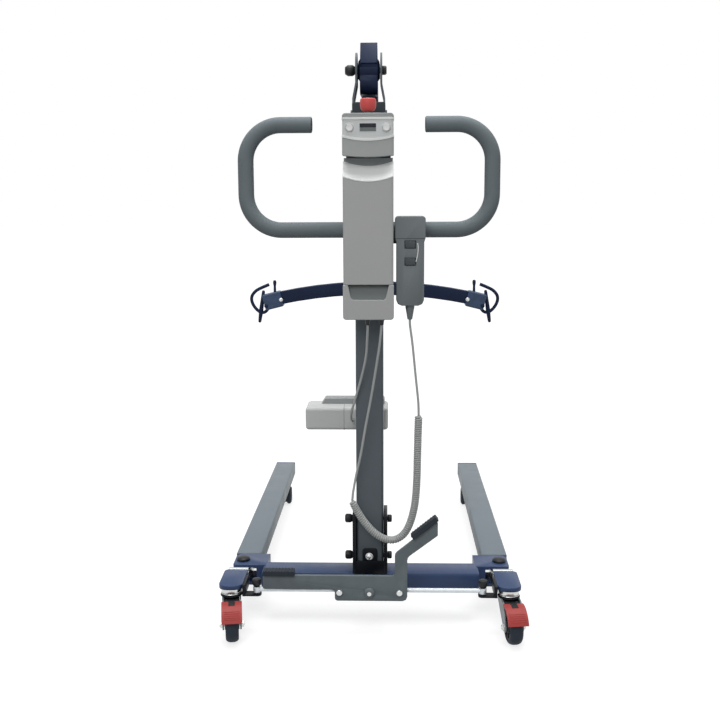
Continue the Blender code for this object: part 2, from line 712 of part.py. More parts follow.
def build_leg(foot, side, sign):
    """One leg on its hinge: tube, cap, hinge tongue, heel, lever, tie rod and casters."""
    hinge = joint(side + "_leg_hinge", foot, (sign * PIVOT_X, PIVOT_Y, 0))
    half = LEG_WIDTH / 2
    top = LEG_BOTTOM + LEG_HEIGHT
    leg = block("leg_tube_" + side, (sign * LEG_X - half, LEG_REAR, LEG_BOTTOM),
                (sign * LEG_X + half, LEG_FRONT, top), hinge, "grey", 0.004, 2)
    bore_low = Vector((sign * LEG_X - half + LEG_WALL, LEG_REAR - 0.01, LEG_BOTTOM + LEG_WALL))
    bore_high = Vector((sign * LEG_X + half - LEG_WALL, LEG_FRONT + 0.01, top - LEG_WALL))
    cut(leg, block("leg bore", bore_low, bore_high, hinge))
    cut(leg, rod("stem hole", (sign * FRONT_CASTER_X, FRONT_CASTER_Y, LEG_BOTTOM - 0.01),
                 (sign * FRONT_CASTER_X, FRONT_CASTER_Y, LEG_BOTTOM + 0.01),
                 FRONT_STEM_RADIUS + RUNNING_FIT, hinge))

    cap = block("leg_end_cap_" + side, (sign * LEG_X - half, LEG_FRONT + GAP, LEG_BOTTOM),
                (sign * LEG_X + half, LEG_FRONT + LEG_CAP, top), hinge, "blue", 0.002)
    slack = Vector((2 * GAP, 0, 2 * GAP))
    plug_low = Vector((bore_low.x, LEG_FRONT - LEG_PLUG, bore_low.z)) + slack
    plug_high = Vector((bore_high.x, LEG_FRONT + LEG_CAP / 2, bore_high.z)) - slack
    join(cap, block("cap plug", plug_low, plug_high, hinge))

    tongue = block("leg_hinge_tongue_" + side, (sign * TONGUE_INNER, TONGUE_REAR, TONGUE_BOTTOM),
                   (sign * (TONGUE_INNER + TONGUE_WIDTH), LEG_REAR + TONGUE_INSERT, TONGUE_TOP),
                   hinge, "zinc")
    seat = block("tongue seat", (sign * (TONGUE_INNER + 0.001), TONGUE_SEAT_REAR, TONGUE_SEAT_BOTTOM),
                 (sign * (TONGUE_INNER + TONGUE_WIDTH - 0.001), TONGUE_REAR + 0.01, TONGUE_TOP), hinge)
    ear_gap = CLEVIS_INSET + CLEVIS_PLATE + GAP
    boss = rod("tongue boss", (sign * PIVOT_X, PIVOT_Y, CROSS_BOTTOM + ear_gap),
               (sign * PIVOT_X, PIVOT_Y, CROSS_TOP - ear_gap), TONGUE_BOSS_RADIUS, hinge, sides=16)
    race = rod("caster race", (sign * REAR_CASTER_X, REAR_CASTER_Y, REAR_RACE_BOTTOM),
               (sign * REAR_CASTER_X, REAR_CASTER_Y, TONGUE_TOP), REAR_RACE_RADIUS, hinge, sides=20)
    join(tongue, seat, boss, race)
    spindle_top = REAR_RACE_BOTTOM + REAR_SPINDLE_DEPTH
    cut(tongue, rod("spindle bore", (sign * REAR_CASTER_X, REAR_CASTER_Y, REAR_RACE_BOTTOM - 0.01),
                    (sign * REAR_CASTER_X, REAR_CASTER_Y, spindle_top + 2 * GAP),
                    REAR_SPINDLE_RADIUS + RUNNING_FIT, hinge, sides=12))
    cut(tongue, rod("tongue bore", (sign * PIVOT_X, PIVOT_Y, CROSS_BOTTOM - 0.01),
                    (sign * PIVOT_X, PIVOT_Y, CROSS_TOP + 0.01), PIVOT_BOLT_RADIUS + RUNNING_FIT, hinge))

    heel_bottom = TONGUE_TOP + GAP
    outline = rounded_outline([(sign * HEEL_INNER, HEEL_FRONT, 0.003), (sign * HEEL_OUTER, HEEL_FRONT,
                                                                        0.010),
                               (sign * HEEL_OUTER, HEEL_REAR, 0.020), (sign * HEEL_INNER, HEEL_REAR,
                                                                       0.020)], 5)
    plate("leg_heel_" + side, outline, HEEL_THICKNESS, "Z", (0, 0, heel_bottom + HEEL_THICKNESS / 2),
          hinge, "blue")

    web_outer = HEEL_INNER - GAP
    lever = block("spread_lever_" + side, (sign * (web_outer - LEVER_WEB), LEVER_REAR, LEVER_BOTTOM),
                  (sign * web_outer, LEVER_WEB_FRONT, heel_bottom + HEEL_THICKNESS), hinge, "black")
    outline = rounded_outline([(sign * (web_outer - 0.001), LEVER_REAR + 0.0005, 0),
                               (sign * LEVER_INNER, LEVER_REAR + 0.0005, 0.008),
                               (sign * LEVER_INNER, LEVER_FRONT, 0.008),
                               (sign * (web_outer - 0.001), LEVER_FRONT, 0)])
    tab = plate("lever tab", outline, LEVER_THICKNESS, "Z",
                (0, 0, LEVER_BOTTOM + LEVER_THICKNESS / 2 + 0.0001), hinge)
    nut_bottom = TIE_HOUSING_TOP + TIE_TILT_GAP
    ball = arc_points((0, TIE_ROD_Z), STUD_BALL_RADIUS, math.radians(55), math.radians(-55), 4)
    stud_profile = [(0, nut_bottom + STUD_NUT_HEIGHT + 0.002), (STUD_RADIUS,
                                                                nut_bottom + STUD_NUT_HEIGHT + 0.002),
                    (STUD_RADIUS, nut_bottom + STUD_NUT_HEIGHT), (STUD_NUT_RADIUS,
                                                                  nut_bottom + STUD_NUT_HEIGHT),
                    (STUD_NUT_RADIUS, nut_bottom), (STUD_RADIUS, nut_bottom), *ball,
                    (STUD_RADIUS, LEVER_BOTTOM + 0.002), (0, LEVER_BOTTOM + 0.002)]
    stud = turned("ball stud", stud_profile, "Z", (sign * STUD_X, STUD_Y, 0), hinge, steps=8)
    join(lever, tab, stud)

    rod_hinge = joint(side + "_tie_rod_hinge", hinge, (sign * STUD_X, STUD_Y, TIE_ROD_Z))
    housing = rod("tie_rod_" + side, (sign * STUD_X, STUD_Y, TIE_HOUSING_BOTTOM),
                  (sign * STUD_X, STUD_Y, TIE_HOUSING_TOP), TIE_HOUSING_RADIUS, rod_hinge, "chrome",
                  sides=14)
    link_front = ROCKER_REAR + ROCKER_THICKNESS + TIE_EYE_GAP
    eye_y = link_front + TIE_EYE_THICKNESS / 2
    shank = rod("rod shank", (sign * (STUD_X - TIE_HOUSING_RADIUS / 2), STUD_Y, TIE_ROD_Z),
                (sign * (ROCKER_LINK_X + TIE_EYE_RADIUS / 2), STUD_Y, TIE_ROD_Z), TIE_ROD_RADIUS, rod_hinge,
                sides=12)
    eye = rod("rod eye", (sign * ROCKER_LINK_X, link_front, TIE_ROD_Z),
              (sign * ROCKER_LINK_X, eye_y + TIE_EYE_THICKNESS / 2, TIE_ROD_Z), TIE_EYE_RADIUS, rod_hinge,
              sides=14)
    join(housing, shank, eye)
    cut(housing, rod("stud bore", (sign * STUD_X, STUD_Y, TIE_HOUSING_BOTTOM - 0.01),
                     (sign * STUD_X, STUD_Y, TIE_HOUSING_TOP + 0.01), TIE_BORE_RADIUS, rod_hinge, sides=12))

    build_rear_caster(hinge, side, sign)
    build_front_caster(hinge, side, sign)


def build_rear_caster(hinge, side, sign):
    """Rear caster: swivel fork, braked wheel and the red brake pedal."""
    x, y = sign * REAR_CASTER_X, REAR_CASTER_Y
    spindle_top = REAR_RACE_BOTTOM + REAR_SPINDLE_DEPTH
    yaw = REAR_YAW_RIGHT if sign > 0 else REAR_YAW_LEFT
    swivel = empty(side + "_rear_swivel", hinge, Vector((x, y, 0)), Matrix.Rotation(yaw, 4, "Z"))
    swivel.matrix_parent_inverse = CHILD_FRAMES[hinge.name]

    crown_top = REAR_RACE_BOTTOM - 2 * GAP
    fork = rod("rear_caster_fork_" + side, (0, 0, REAR_CROWN_BOTTOM), (0, 0, crown_top),
               REAR_CROWN_RADIUS, swivel, "black", sides=20)
    axle = Vector((0, -REAR_TRAIL, REAR_WHEEL_RADIUS))
    shoulder = REAR_CROWN_BOTTOM + GAP
    outline = [(0.012, crown_top - GAP), (-0.012, crown_top - GAP), (-0.0135, shoulder), (-0.030, shoulder)]
    outline += arc_points((axle.y, axle.z), 0.011, math.radians(170), math.radians(340), 5)
    outline += [(0.015, 0.080)]
    outer = REAR_FORK_INNER + REAR_FORK_PLATE
    for half in (-1, 1):
        cheek = plate("fork cheek", outline, REAR_FORK_PLATE, "X", (half * (REAR_FORK_INNER + outer) / 2, 0,
                                                                    0), swivel)
        cut(cheek, rod("pedal pin hole",
                       (half * (REAR_FORK_INNER - 0.01), -PEDAL_PIVOT_BACK, PEDAL_PIVOT_HEIGHT),
                       (half * (outer + 0.01), -PEDAL_PIVOT_BACK, PEDAL_PIVOT_HEIGHT),
                       PEDAL_PIN_RADIUS + BORE_FIT, swivel, sides=12))
        join(fork, cheek)
    nut = outer + 0.0045
    bolt = rod("caster axle", (-nut - 0.002, axle.y, axle.z), (nut + 0.002, axle.y, axle.z),
               REAR_AXLE_RADIUS, swivel, sides=10)
    for half in (-1, 1):
        join(fork, rod("axle nut", (half * (outer - 0.0005), axle.y, axle.z), (half * nut, axle.y, axle.z),
                       REAR_NUT_RADIUS, swivel, sides=6))
    spindle = rod("fork spindle", (0, 0, REAR_CROWN_BOTTOM + 0.001), (0, 0, spindle_top),
                  REAR_SPINDLE_RADIUS, swivel, sides=12)
    join(fork, bolt, spindle)

    roll = empty(side + "_rear_roll", swivel, axle)
    half = REAR_WHEEL_WIDTH / 2
    bore = REAR_AXLE_RADIUS + BORE_FIT
    profile = [(bore, half - 0.0005), (0.011, half - 0.0005), (0.012, half - 0.004), (0.027, half - 0.004),
               (0.029, half - 0.001), (REAR_WHEEL_RADIUS, half - 0.006)]
    profile += [(radius, -height) for radius, height in reversed(profile)]
    turned("rear_caster_wheel_" + side, profile, "X", (0, 0, 0), roll, "rubber", steps=20, ring=True)

    pedal_hinge = joint(side + "_brake_hinge", swivel, (0, -PEDAL_PIVOT_BACK, PEDAL_PIVOT_HEIGHT))
    centre = (axle.y, axle.z)
    low, high = math.pi - HOOD_LOW_ANGLE, math.pi - HOOD_HIGH_ANGLE
    outline = arc_points(centre, HOOD_INNER + HOOD_SHELL, low, high, 9)
    outline += arc_points(centre, HOOD_INNER, high, low, 9)
    pedal = plate("rear_brake_pedal_" + side, outline, HOOD_WIDTH, "X", (0, 0, 0), pedal_hinge, "red")
    neck = block("pedal neck", (-PEDAL_TONGUE_WIDTH / 2, axle.y + 0.002, PEDAL_PIVOT_HEIGHT + 0.003),
                 (PEDAL_TONGUE_WIDTH / 2, -PEDAL_PIVOT_BACK + 0.002, PEDAL_PIVOT_HEIGHT + 0.0055),
                 pedal_hinge)
    boss = rod("pedal boss", (-PEDAL_TONGUE_WIDTH / 2 - 0.001, -PEDAL_PIVOT_BACK, PEDAL_PIVOT_HEIGHT),
               (PEDAL_TONGUE_WIDTH / 2 + 0.001, -PEDAL_PIVOT_BACK, PEDAL_PIVOT_HEIGHT),
               PEDAL_BOSS_RADIUS, pedal_hinge, sides=12)
    pin = rod("pedal pin", (-outer + 0.0005, -PEDAL_PIVOT_BACK, PEDAL_PIVOT_HEIGHT),
              (outer - 0.0005, -PEDAL_PIVOT_BACK, PEDAL_PIVOT_HEIGHT), PEDAL_PIN_RADIUS, pedal_hinge,
              sides=12)
    join(pedal, neck, boss, pin)


def build_front_caster(hinge, side, sign):
    """Front caster: a swivel body under the leg with two small wheels beside it."""
    x, y = sign * FRONT_CASTER_X, FRONT_CASTER_Y
    swivel = empty(side + "_front_swivel", hinge, Vector((x, y, 0)))
    swivel.matrix_parent_inverse = CHILD_FRAMES[hinge.name]
    axle = Vector((0, -FRONT_TRAIL, FRONT_WHEEL_RADIUS))
    top = LEG_BOTTOM - GAP
    outline = [(0.012, top - 0.001), (-0.014, top - 0.001)]
    outline += arc_points((axle.y, axle.z), 0.020, math.radians(165), math.radians(375), 8)
    body = plate("front_caster_body_" + side, outline, 2 * FRONT_BODY_HALF, "X", (0, 0, 0), swivel, "black")
    collar = rod("caster collar", (0, 0, top - 0.007), (0, 0, top), 0.017, swivel, sides=16)
    stem = rod("caster stem", (0, 0, top - 0.004), (0, 0, FRONT_STEM_TOP), FRONT_STEM_RADIUS, swivel,
               sides=10)
    hood_outline = arc_points((axle.y, axle.z), 0.0285, math.radians(160), math.radians(15), 7)
    hood_outline += arc_points((axle.y, axle.z), 0.0262, math.radians(15), math.radians(160), 7)
    hood = plate("caster hood", hood_outline, 2 * (FRONT_WHEEL_WIDTH + FRONT_BODY_HALF), "X", (0, 0, 0),
                 swivel)
    join(body, collar, stem, hood)
    cut(body, rod("caster axle hole", (-0.02, axle.y, axle.z), (0.02, axle.y, axle.z),
                  FRONT_AXLE_RADIUS + BORE_FIT, swivel, sides=12))
    roll = empty(side + "_front_roll", swivel, axle)
    inner = FRONT_BODY_HALF + 2 * GAP
    outer = inner + FRONT_WHEEL_WIDTH
    profile = [(0, outer), (0.020, outer), (FRONT_WHEEL_RADIUS, outer - 0.004),
               (FRONT_WHEEL_RADIUS, inner + 0.003), (0.021, inner), (FRONT_AXLE_RADIUS, inner)]
    profile += [(radius, -height) for radius, height in reversed(profile)]
    turned("front_caster_wheels_" + side, profile, "X", (0, 0, 0), roll, "rubber", steps=16)


def build_rocker(foot):
    """Rocker pedal on its boss, its two foot pads and the bolts of the tie rods."""
    front = ROCKER_REAR + ROCKER_THICKNESS
    base = bpy.data.objects["base_frame"]
    boss = rod("rocker boss", (0, front + GAP, ROCKER_Z), (0, -CROSS_DEPTH / 2 + 0.010, ROCKER_Z),
               ROCKER_BOSS_RADIUS, foot, sides=16)
    bolt_end = -0.060
    join(base, boss)
    cut(base, rod("boss bore", (0, front - 0.01, ROCKER_Z), (0, bolt_end + 0.002, ROCKER_Z),
                  ROCKER_BOLT_RADIUS + BORE_FIT, foot))
    head = ROCKER_REAR - GAP
    profile = [(0, bolt_end), (ROCKER_BOLT_RADIUS, bolt_end), (ROCKER_BOLT_RADIUS, head), (0.011, head),
               (0.011, head - 0.004), (0.008, head - 0.007), (0, head - 0.007)]
    smooth(turned("rocker_pivot_bolt", profile, "Y", (0, 0, ROCKER_Z), foot, "zinc", steps=16))

    hinge = joint("rocker_hinge", foot, (0, 0, ROCKER_Z))
    inner_tip = Vector(ROCKER_INNER_TIP)
    along = (inner_tip - Vector(ROCKER_INNER_BEND)).normalized()
    across = Vector((-along.y, along.x))
    inner_x, outer_x = ROCKER_ARM_X
    low, high, arm_low, arm_high = 0.083, 0.1397, 0.1086, 0.1397
    outline = rounded_outline([
        (ROCKER_LEFT, low, 0.006), (outer_x, low, 0.010), (*ROCKER_OUTER_BEND, 0.012),
        (*ROCKER_OUTER_TIP, 0.003), (*inner_tip, 0.003), (*ROCKER_INNER_BEND, 0.012),
        (inner_x, high, 0.006), (ROCKER_ARM_LEFT, arm_high, 0.004),
        (ROCKER_ARM_LEFT, arm_low, 0.004), (ROCKER_LEFT, arm_low, 0.006)], 2)
    middle = ROCKER_REAR + ROCKER_THICKNESS / 2
    rocker = plate("pedal_rocker", outline, ROCKER_THICKNESS, "Y", (0, middle, 0), hinge, "grey")
    cut(rocker, rod("rocker bore", (0, ROCKER_REAR - 0.01, ROCKER_Z), (0, front + 0.01, ROCKER_Z),
                    ROCKER_BOLT_RADIUS + BORE_FIT, hinge))
    for side, sign in SIDES:
        x = sign * ROCKER_LINK_X
        join(rocker, rod("link stud " + side, (x, middle, TIE_ROD_Z),
                         (x, ROCKER_REAR - LINK_HEAD_HEIGHT, TIE_ROD_Z),
                         LINK_HEAD_RADIUS, hinge, sides=12))

    pad_high = arm_high + GAP
    block("pedal_pad_left", (ROCKER_ARM_LEFT + 0.001, middle - PAD_DEPTH / 2, pad_high),
          (ROCKER_ARM_LEFT + 0.001 + PAD_LENGTH, middle + PAD_DEPTH / 2, pad_high + PAD_THICKNESS),
          hinge, "rubber", 0.003)
    turn = Matrix.Rotation(-math.atan2(along.y, along.x), 4, "Y")
    half = Vector((PAD_LENGTH / 2, PAD_DEPTH / 2, PAD_THICKNESS / 2))
    right_pad = block("pedal_pad_right", -half, half, hinge, "rubber", 0.003)
    centre = inner_tip - along * (PAD_LENGTH / 2 - PAD_OVERHANG) + across * (PAD_THICKNESS / 2 + GAP)
    right_pad.matrix_basis = Matrix.Translation((centre.x, middle, centre.y)) @ turn


def build_head(foot):
    """Mast head: a fork of two joggled plates with its bolt heads, and the boom's pivot bolt."""
    inner = MAST_WIDTH / 2 + GAP
    outer = inner + HEAD_PLATE
    high = HEAD_HALF_AT_PIVOT
    crown = BOOM_PIVOT_Z + HEAD_TOP_RADIUS
    bridge_rear = MAST_DEPTH / 2 + GAP
    bridge_front = bridge_rear + HEAD_PLATE
    outline = [(bridge_front, HEAD_BOTTOM), (bridge_front, HEAD_BEND_LOW), (HEAD_HALF_DEPTH,
                                                                            BOOM_PIVOT_Z - 0.010)]
    outline += arc_points((0, BOOM_PIVOT_Z), HEAD_TOP_RADIUS, math.radians(-12), math.radians(192), 16)
    outline += [(-HEAD_HALF_DEPTH, BOOM_PIVOT_Z - 0.010), (-HEAD_HALF_DEPTH, HEAD_BOTTOM)]
    fork = block("mast_head_fork", (-outer + 0.001, bridge_rear, HEAD_BOTTOM),
                 (outer - 0.001, bridge_front, HEAD_BEND_LOW - 0.006), foot, "grey")
    for side, sign in SIDES:
        strip = [(sign * inner, HEAD_BOTTOM - 0.01), (sign * outer, HEAD_BOTTOM - 0.01),
                 (sign * outer, HEAD_BEND_LOW), (sign * high, HEAD_BEND_HIGH), (sign * high, crown + 0.01),
                 (sign * (high - HEAD_PLATE), crown + 0.01), (sign * (high - HEAD_PLATE),
                                                              HEAD_BEND_HIGH - 0.001),
                 (sign * inner, HEAD_BEND_LOW - 0.001)]
        cheek = plate("head cheek " + side, strip, 0.1, "Y", (0, 0, 0), foot)
        change(cheek, plate("head outline", outline, 0.2, "X", (0, 0, 0), foot), "INTERSECT")
        cut(cheek, rod("head pivot hole", (sign * 0.01, 0, BOOM_PIVOT_Z), (sign * 0.05, 0, BOOM_PIVOT_Z),
                       BOOM_BOLT_RADIUS + BORE_FIT, foot))
        join(fork, cheek)
        for y in (-HEAD_BOLT_SPACING / 2, HEAD_BOLT_SPACING / 2):
            join(fork, rod("head bolt", (sign * (outer - 0.002), y, HEAD_BOLT_HEIGHT),
                           (sign * (outer + 0.004), y, HEAD_BOLT_HEIGHT), HEAD_BOLT_RADIUS, foot, sides=6))
    face = high + GAP
    knob, cap = face + BOOM_KNOB_LENGTH, face + BOOM_CAP_LENGTH
    profile = [(0, cap), (BOOM_CAP_RADIUS - 0.002, cap), (BOOM_CAP_RADIUS, cap - 0.003), (BOOM_CAP_RADIUS,
                                                                                          face),
               (BOOM_BOLT_RADIUS, face), (BOOM_BOLT_RADIUS, -face), (BOOM_KNOB_RADIUS * 0.65, -face),
               (BOOM_KNOB_RADIUS, -face - 0.006), (BOOM_KNOB_RADIUS, -knob + 0.006),
               (BOOM_KNOB_RADIUS * 0.65, -knob), (0, -knob)]
    smooth(turned("boom_pivot_bolt", profile, "X", (0, 0, BOOM_PIVOT_Z), foot, "black", steps=16))


def build_boom(foot):
    """Boom with its knuckle, end caps and brackets, in the boom's own frame."""
    hinge = empty("boom_hinge", foot, (0, 0, BOOM_PIVOT_Z), Matrix.Rotation(BOOM_SLOPE, 4, "X"))
    half, low, high = BOOM_WIDTH / 2, BOOM_OFFSET - BOOM_HEIGHT / 2, BOOM_OFFSET + BOOM_HEIGHT / 2
    inner = half - BOOM_WALL
    boom = block("boom_tube", (-half, BOOM_REAR, low), (half, BOOM_FRONT, high), hinge, "blue", BOOM_ROUND)
    cut(boom, block("boom bore", (-inner, BOOM_REAR - 0.01, low + BOOM_WALL),
                    (inner, BOOM_FRONT - BOOM_END_PLATE, high - BOOM_WALL), hinge))
    pin = (HANGER_PIN_A, HANGER_PIN_B)
    lug_outline = [(BOOM_FRONT - 0.003, 0.022), (BOOM_FRONT - 0.003, low + 0.002)]
    lug_outline += arc_points(pin, LUG_RADIUS, math.radians(-120), math.radians(70), 7)
    pin_ends = LUG_INNER + LUG_PLATE
    for sign in (-1, 1):
        lug = plate("tip lug", lug_outline, LUG_PLATE, "X", (sign * (LUG_INNER + LUG_PLATE / 2), 0, 0),
                    hinge)
        ear_outline = [(ACTUATOR_BOOM_A + BRACKET_RADIUS, low + 0.002), (ACTUATOR_BOOM_A - BRACKET_RADIUS,
                                                                         low + 0.002)]
        ear_outline += arc_points((ACTUATOR_BOOM_A - 0.003, ACTUATOR_BOOM_B - 0.004), BRACKET_RADIUS,
                                  math.radians(190), math.radians(350), 9)
        ear = plate("actuator ear", ear_outline, BRACKET_PLATE, "X",
                    (sign * (BRACKET_INNER + BRACKET_PLATE / 2), 0, 0), hinge)
        join(boom, lug, ear)
    plug = block("boom_rear_cap", (-half, BOOM_REAR - BOOM_CAP_PLATE, low), (half, BOOM_REAR - GAP, high),
                 hinge, "blue", 0.001, 1)
    slack = 2 * GAP
    join(plug, block("cap insert", (-inner + slack, BOOM_REAR - BOOM_CAP_PLATE / 2, low + BOOM_WALL + slack),
                     (inner - slack, BOOM_REAR + LEG_PLUG, high - BOOM_WALL - slack), hinge))
    join(boom, rod("hanger pin", (-pin_ends - 0.003, *pin), (pin_ends + 0.003, *pin), HANGER_PIN_RADIUS,
                   hinge, sides=12))
    seat = BRACKET_INNER + BRACKET_PLATE / 2
    for sign in (-1, 1):
        join(boom, rod("pin boss", (sign * seat, ACTUATOR_BOOM_A, ACTUATOR_BOOM_B),
                       (sign * (seat + 0.006), ACTUATOR_BOOM_A, ACTUATOR_BOOM_B), 0.009, hinge))

    outline = [(BOOM_REAR, low - GAP)]
    outline += arc_points(KNUCKLE_ROUND_AT, KNUCKLE_ROUND_RADIUS, math.radians(165), math.radians(305), 9)
    outline += [(KNUCKLE_FRONT, low - GAP)]
    knuckle = plate("boom_knuckle", outline, 2 * KNUCKLE_HALF, "X", (0, 0, 0), hinge, "blue")
    hub = rod("knuckle hub", (-KNUCKLE_HUB_HALF, 0, KNUCKLE_HUB_B), (KNUCKLE_HUB_HALF, 0, KNUCKLE_HUB_B),
              KNUCKLE_HUB_RADIUS, hinge, sides=18)
    join(knuckle, hub)
    clear_boom = block("boom seat", (-half - GAP, BOOM_REAR - 0.02, low - GAP), (half + GAP, KNUCKLE_FRONT,
                                                                                 high), hinge)
    bore = rod("knuckle bore", (-0.05, 0, 0), (0.05, 0, 0), BOOM_BOLT_RADIUS + RUNNING_FIT, hinge)
    cut(knuckle, clear_boom, bore)
    cut(boom, rod("boom bolt bore", (-0.05, 0, 0), (0.05, 0, 0), BOOM_BOLT_RADIUS + RUNNING_FIT, hinge))
    return hinge


def build_spreader(hinge):
    """Hanger on the boom's tip, kept level, with the swivelling spreader bar and its hooks."""
    slope = Matrix.Rotation(BOOM_SLOPE, 3, "X")
    pin = slope @ Vector((0, HANGER_PIN_A, HANGER_PIN_B)) + Vector((0, 0, BOOM_PIVOT_Z))
    level = empty("hanger_hinge", hinge, (0, HANGER_PIN_A, HANGER_PIN_B),
                  Matrix.Rotation(-BOOM_SLOPE, 4, "X"))
    bar_top = SPREADER_Z + SPREADER_HEIGHT / 2 - pin.z
    bar_bottom = SPREADER_Z - SPREADER_HEIGHT / 2 - pin.z
    foot_top = bar_top + GAP + HANGER_FOOT
    half_depth = HANGER_DEPTH / 2
    outline = arc_points((0, 0), half_depth, math.radians(0), math.radians(180), 7)
    outline += [(-half_depth, foot_top - 0.004), (half_depth, foot_top - 0.004)]
    hanger = plate("boom_hanger", outline, HANGER_WIDTH, "X", (0, 0, 0), level, "blue")
    join(hanger, rod("hanger foot", (0, 0, bar_top + GAP), (0, 0, foot_top), HANGER_FOOT_RADIUS, level,
                     sides=16))
    cut(hanger, rod("hanger bore", (-0.03, 0, 0), (0.03, 0, 0), HANGER_PIN_RADIUS + RUNNING_FIT, level,
                    sides=12))
    nut = bar_bottom - GAP
    profile = [(0, bar_top + 0.006), (SWIVEL_BOLT_RADIUS, bar_top + 0.006), (SWIVEL_BOLT_RADIUS, nut),
               (0.012, nut), (0.012, nut - 0.006), (0.008, nut - 0.009), (0, nut - 0.009)]
    join(hanger, turned("swivel stem", profile, "Z", (0, 0, 0), level, steps=14))

    swivel = empty("spreader_swivel", level, (0, 0, SPREADER_Z - pin.z))
    count = 10
    xs = [-SPREADER_HALF + 2 * SPREADER_HALF * i / count for i in range(count + 1)]
    sag = [-SPREADER_SAG * (x / SPREADER_SAG_AT) ** 2 for x in xs]
    outline = [(x, drop - SPREADER_HEIGHT / 2) for x, drop in zip(xs, sag)]
    outline += [(x, drop + SPREADER_HEIGHT / 2) for x, drop in reversed(list(zip(xs, sag)))]
    bar = plate("spreader_bar", outline, SPREADER_DEPTH, "Y", (0, 0, 0), swivel, "blue", 0.004)
    cut(bar, rod("bar swivel bore", (0, 0, -0.05), (0, 0, 0.05), SWIVEL_BOLT_RADIUS + RUNNING_FIT, swivel))
    drop = END_BLOCK_AT[1] - SPREADER_Z
    for side, sign in SIDES:
        turn = Matrix.Rotation(sign * END_BLOCK_TILT, 4, "Y")
        centre = Vector((sign * END_BLOCK_AT[0], 0, drop))
        seat = empty("end_seat_" + side, swivel, centre, turn)
        half_x, half_z = END_BLOCK_LENGTH / 2, END_BLOCK_HEIGHT / 2
        half_y = SPREADER_DEPTH / 2 + END_BLOCK_PLATE
        end = block("sling_hook_" + side, (-half_x, -half_y, -half_z), (half_x, half_y, half_z),
                    seat, "blue", 0.004)
        pocket = plate("bar pocket", scaled_outline(outline, GAP), SPREADER_DEPTH + 2 * GAP, "Y", (0, 0, 0),
                       swivel)
        cut(end, pocket)
        join(end, *hook_shapes(seat, side, sign))


def scaled_outline(outline, margin):
    """Widen the bar's outline by a margin above, below and at its ends."""
    middle = len(outline) / 2
    wide = []
    for i, (u, v) in enumerate(outline):
        lift = -margin if i < middle else margin
        reach = margin if u > 0 else -margin
        wide.append((u + (reach if abs(u) > SPREADER_HALF - 0.001 else 0), v + lift))
    return wide


def hook_point(sign, x, z):
    """Turn a point of a hook, given across the lift and up, to its end block's own frame."""
    across, up = x - END_BLOCK_AT[0], z - END_BLOCK_AT[1]
    cosine, sine = math.cos(END_BLOCK_TILT), math.sin(END_BLOCK_TILT)
    return sign * (across * cosine - up * sine), across * sine + up * cosine


def hook_shapes(seat, side, sign):
    """Give the horn, the keeper prong and the spike of a sling hook, to be welded to its end block."""
    places = [hook_point(sign, *point) for point in HORN]
    hook = tube("hook horn " + side, smooth_route([(x, 0, z) for x, z in places], 0.012), HOOK_RADIUS, seat,
                None, 1)
    ends = [hook_point(sign, *point) for point in PRONG]
    prong = rod("hook prong " + side, *((x, PRONG_SHIFT, z) for x, z in ends), PRONG_RADIUS, seat, sides=9)
    ends = [hook_point(sign, *point) for point in SPIKE]
    spike = rod("hook spike " + side, *((x, 0, z) for x, z in ends), SPIKE_RADIUS, seat, sides=8)
    return hook, prong, spike


def build_actuator(foot, hinge):
    """Lift actuator: motor housing on a pin in the mast's ears, and its rod."""
    pivot = Vector((0, ACTUATOR_PIVOT_Y, ACTUATOR_PIVOT_Z))
    slope = Matrix.Rotation(BOOM_SLOPE, 3, "X")
    upper = slope @ Vector((0, ACTUATOR_BOOM_A, ACTUATOR_BOOM_B)) + Vector((0, 0, BOOM_PIVOT_Z))
    axis = (upper - pivot).normalized()
    reach = (upper - pivot).length
    tilt = joint("actuator_hinge", foot, pivot)
    housing = block("actuator_housing", (MOTOR_LEFT, MOTOR_REAR, MOTOR_BOTTOM), (MOTOR_RIGHT, MOTOR_FRONT,
                                                                                 MOTOR_TOP),
                    tilt, "case", 0.008, 2)
    lug_outline = [(pivot.y - 0.011, MOTOR_BOTTOM + 0.008)]
    lug_outline += arc_points((pivot.y, pivot.z), 0.011, math.radians(180), math.radians(360), 8)
    lug_outline += [(pivot.y + 0.011, MOTOR_BOTTOM + 0.008)]
    lug = plate("housing lug", lug_outline, 2 * (LOWER_EAR_INNER - 0.001), "X", (0, 0, 0), tilt)
    neck = rod("gear neck", pivot + axis * 0.050, pivot + axis * 0.108, 0.030, tilt, sides=16,
               end_radius=0.024)
    barrel = rod("actuator barrel", pivot + axis * 0.090, pivot + axis * ACTUATOR_BARREL,
                 ACTUATOR_TUBE_RADIUS, tilt, sides=18)
    hump = block("motor hump", (-0.118, MOTOR_REAR + 0.012, MOTOR_TOP - 0.010), (-0.081,
                                                                                 MOTOR_FRONT - 0.012, 0.491),
                 tilt, rounding=0.006)
    join(housing, lug, neck, barrel, hump)
    cut(housing, rod("rod bore", pivot + axis * ACTUATOR_BORE_START, pivot + axis * (ACTUATOR_BARREL + 0.01),
                     ACTUATOR_ROD_RADIUS + RUNNING_FIT, tilt, sides=20),
        rod("lug bore", (-0.03, *pivot.yz), (0.03, *pivot.yz), ACTUATOR_PIN_RADIUS + RUNNING_FIT, tilt,
            sides=12))
    slide = joint("actuator_slide", tilt, pivot)
    ram = rod("actuator_rod", pivot + axis * (ACTUATOR_BORE_START + 0.003), pivot + axis * (reach - 0.004),
              ACTUATOR_ROD_RADIUS, slide, "chrome", sides=20)
    eye = rod("ram eye", (-0.008, *upper.yz), (0.008, *upper.yz), 0.012, slide, sides=20)
    join(ram, eye)


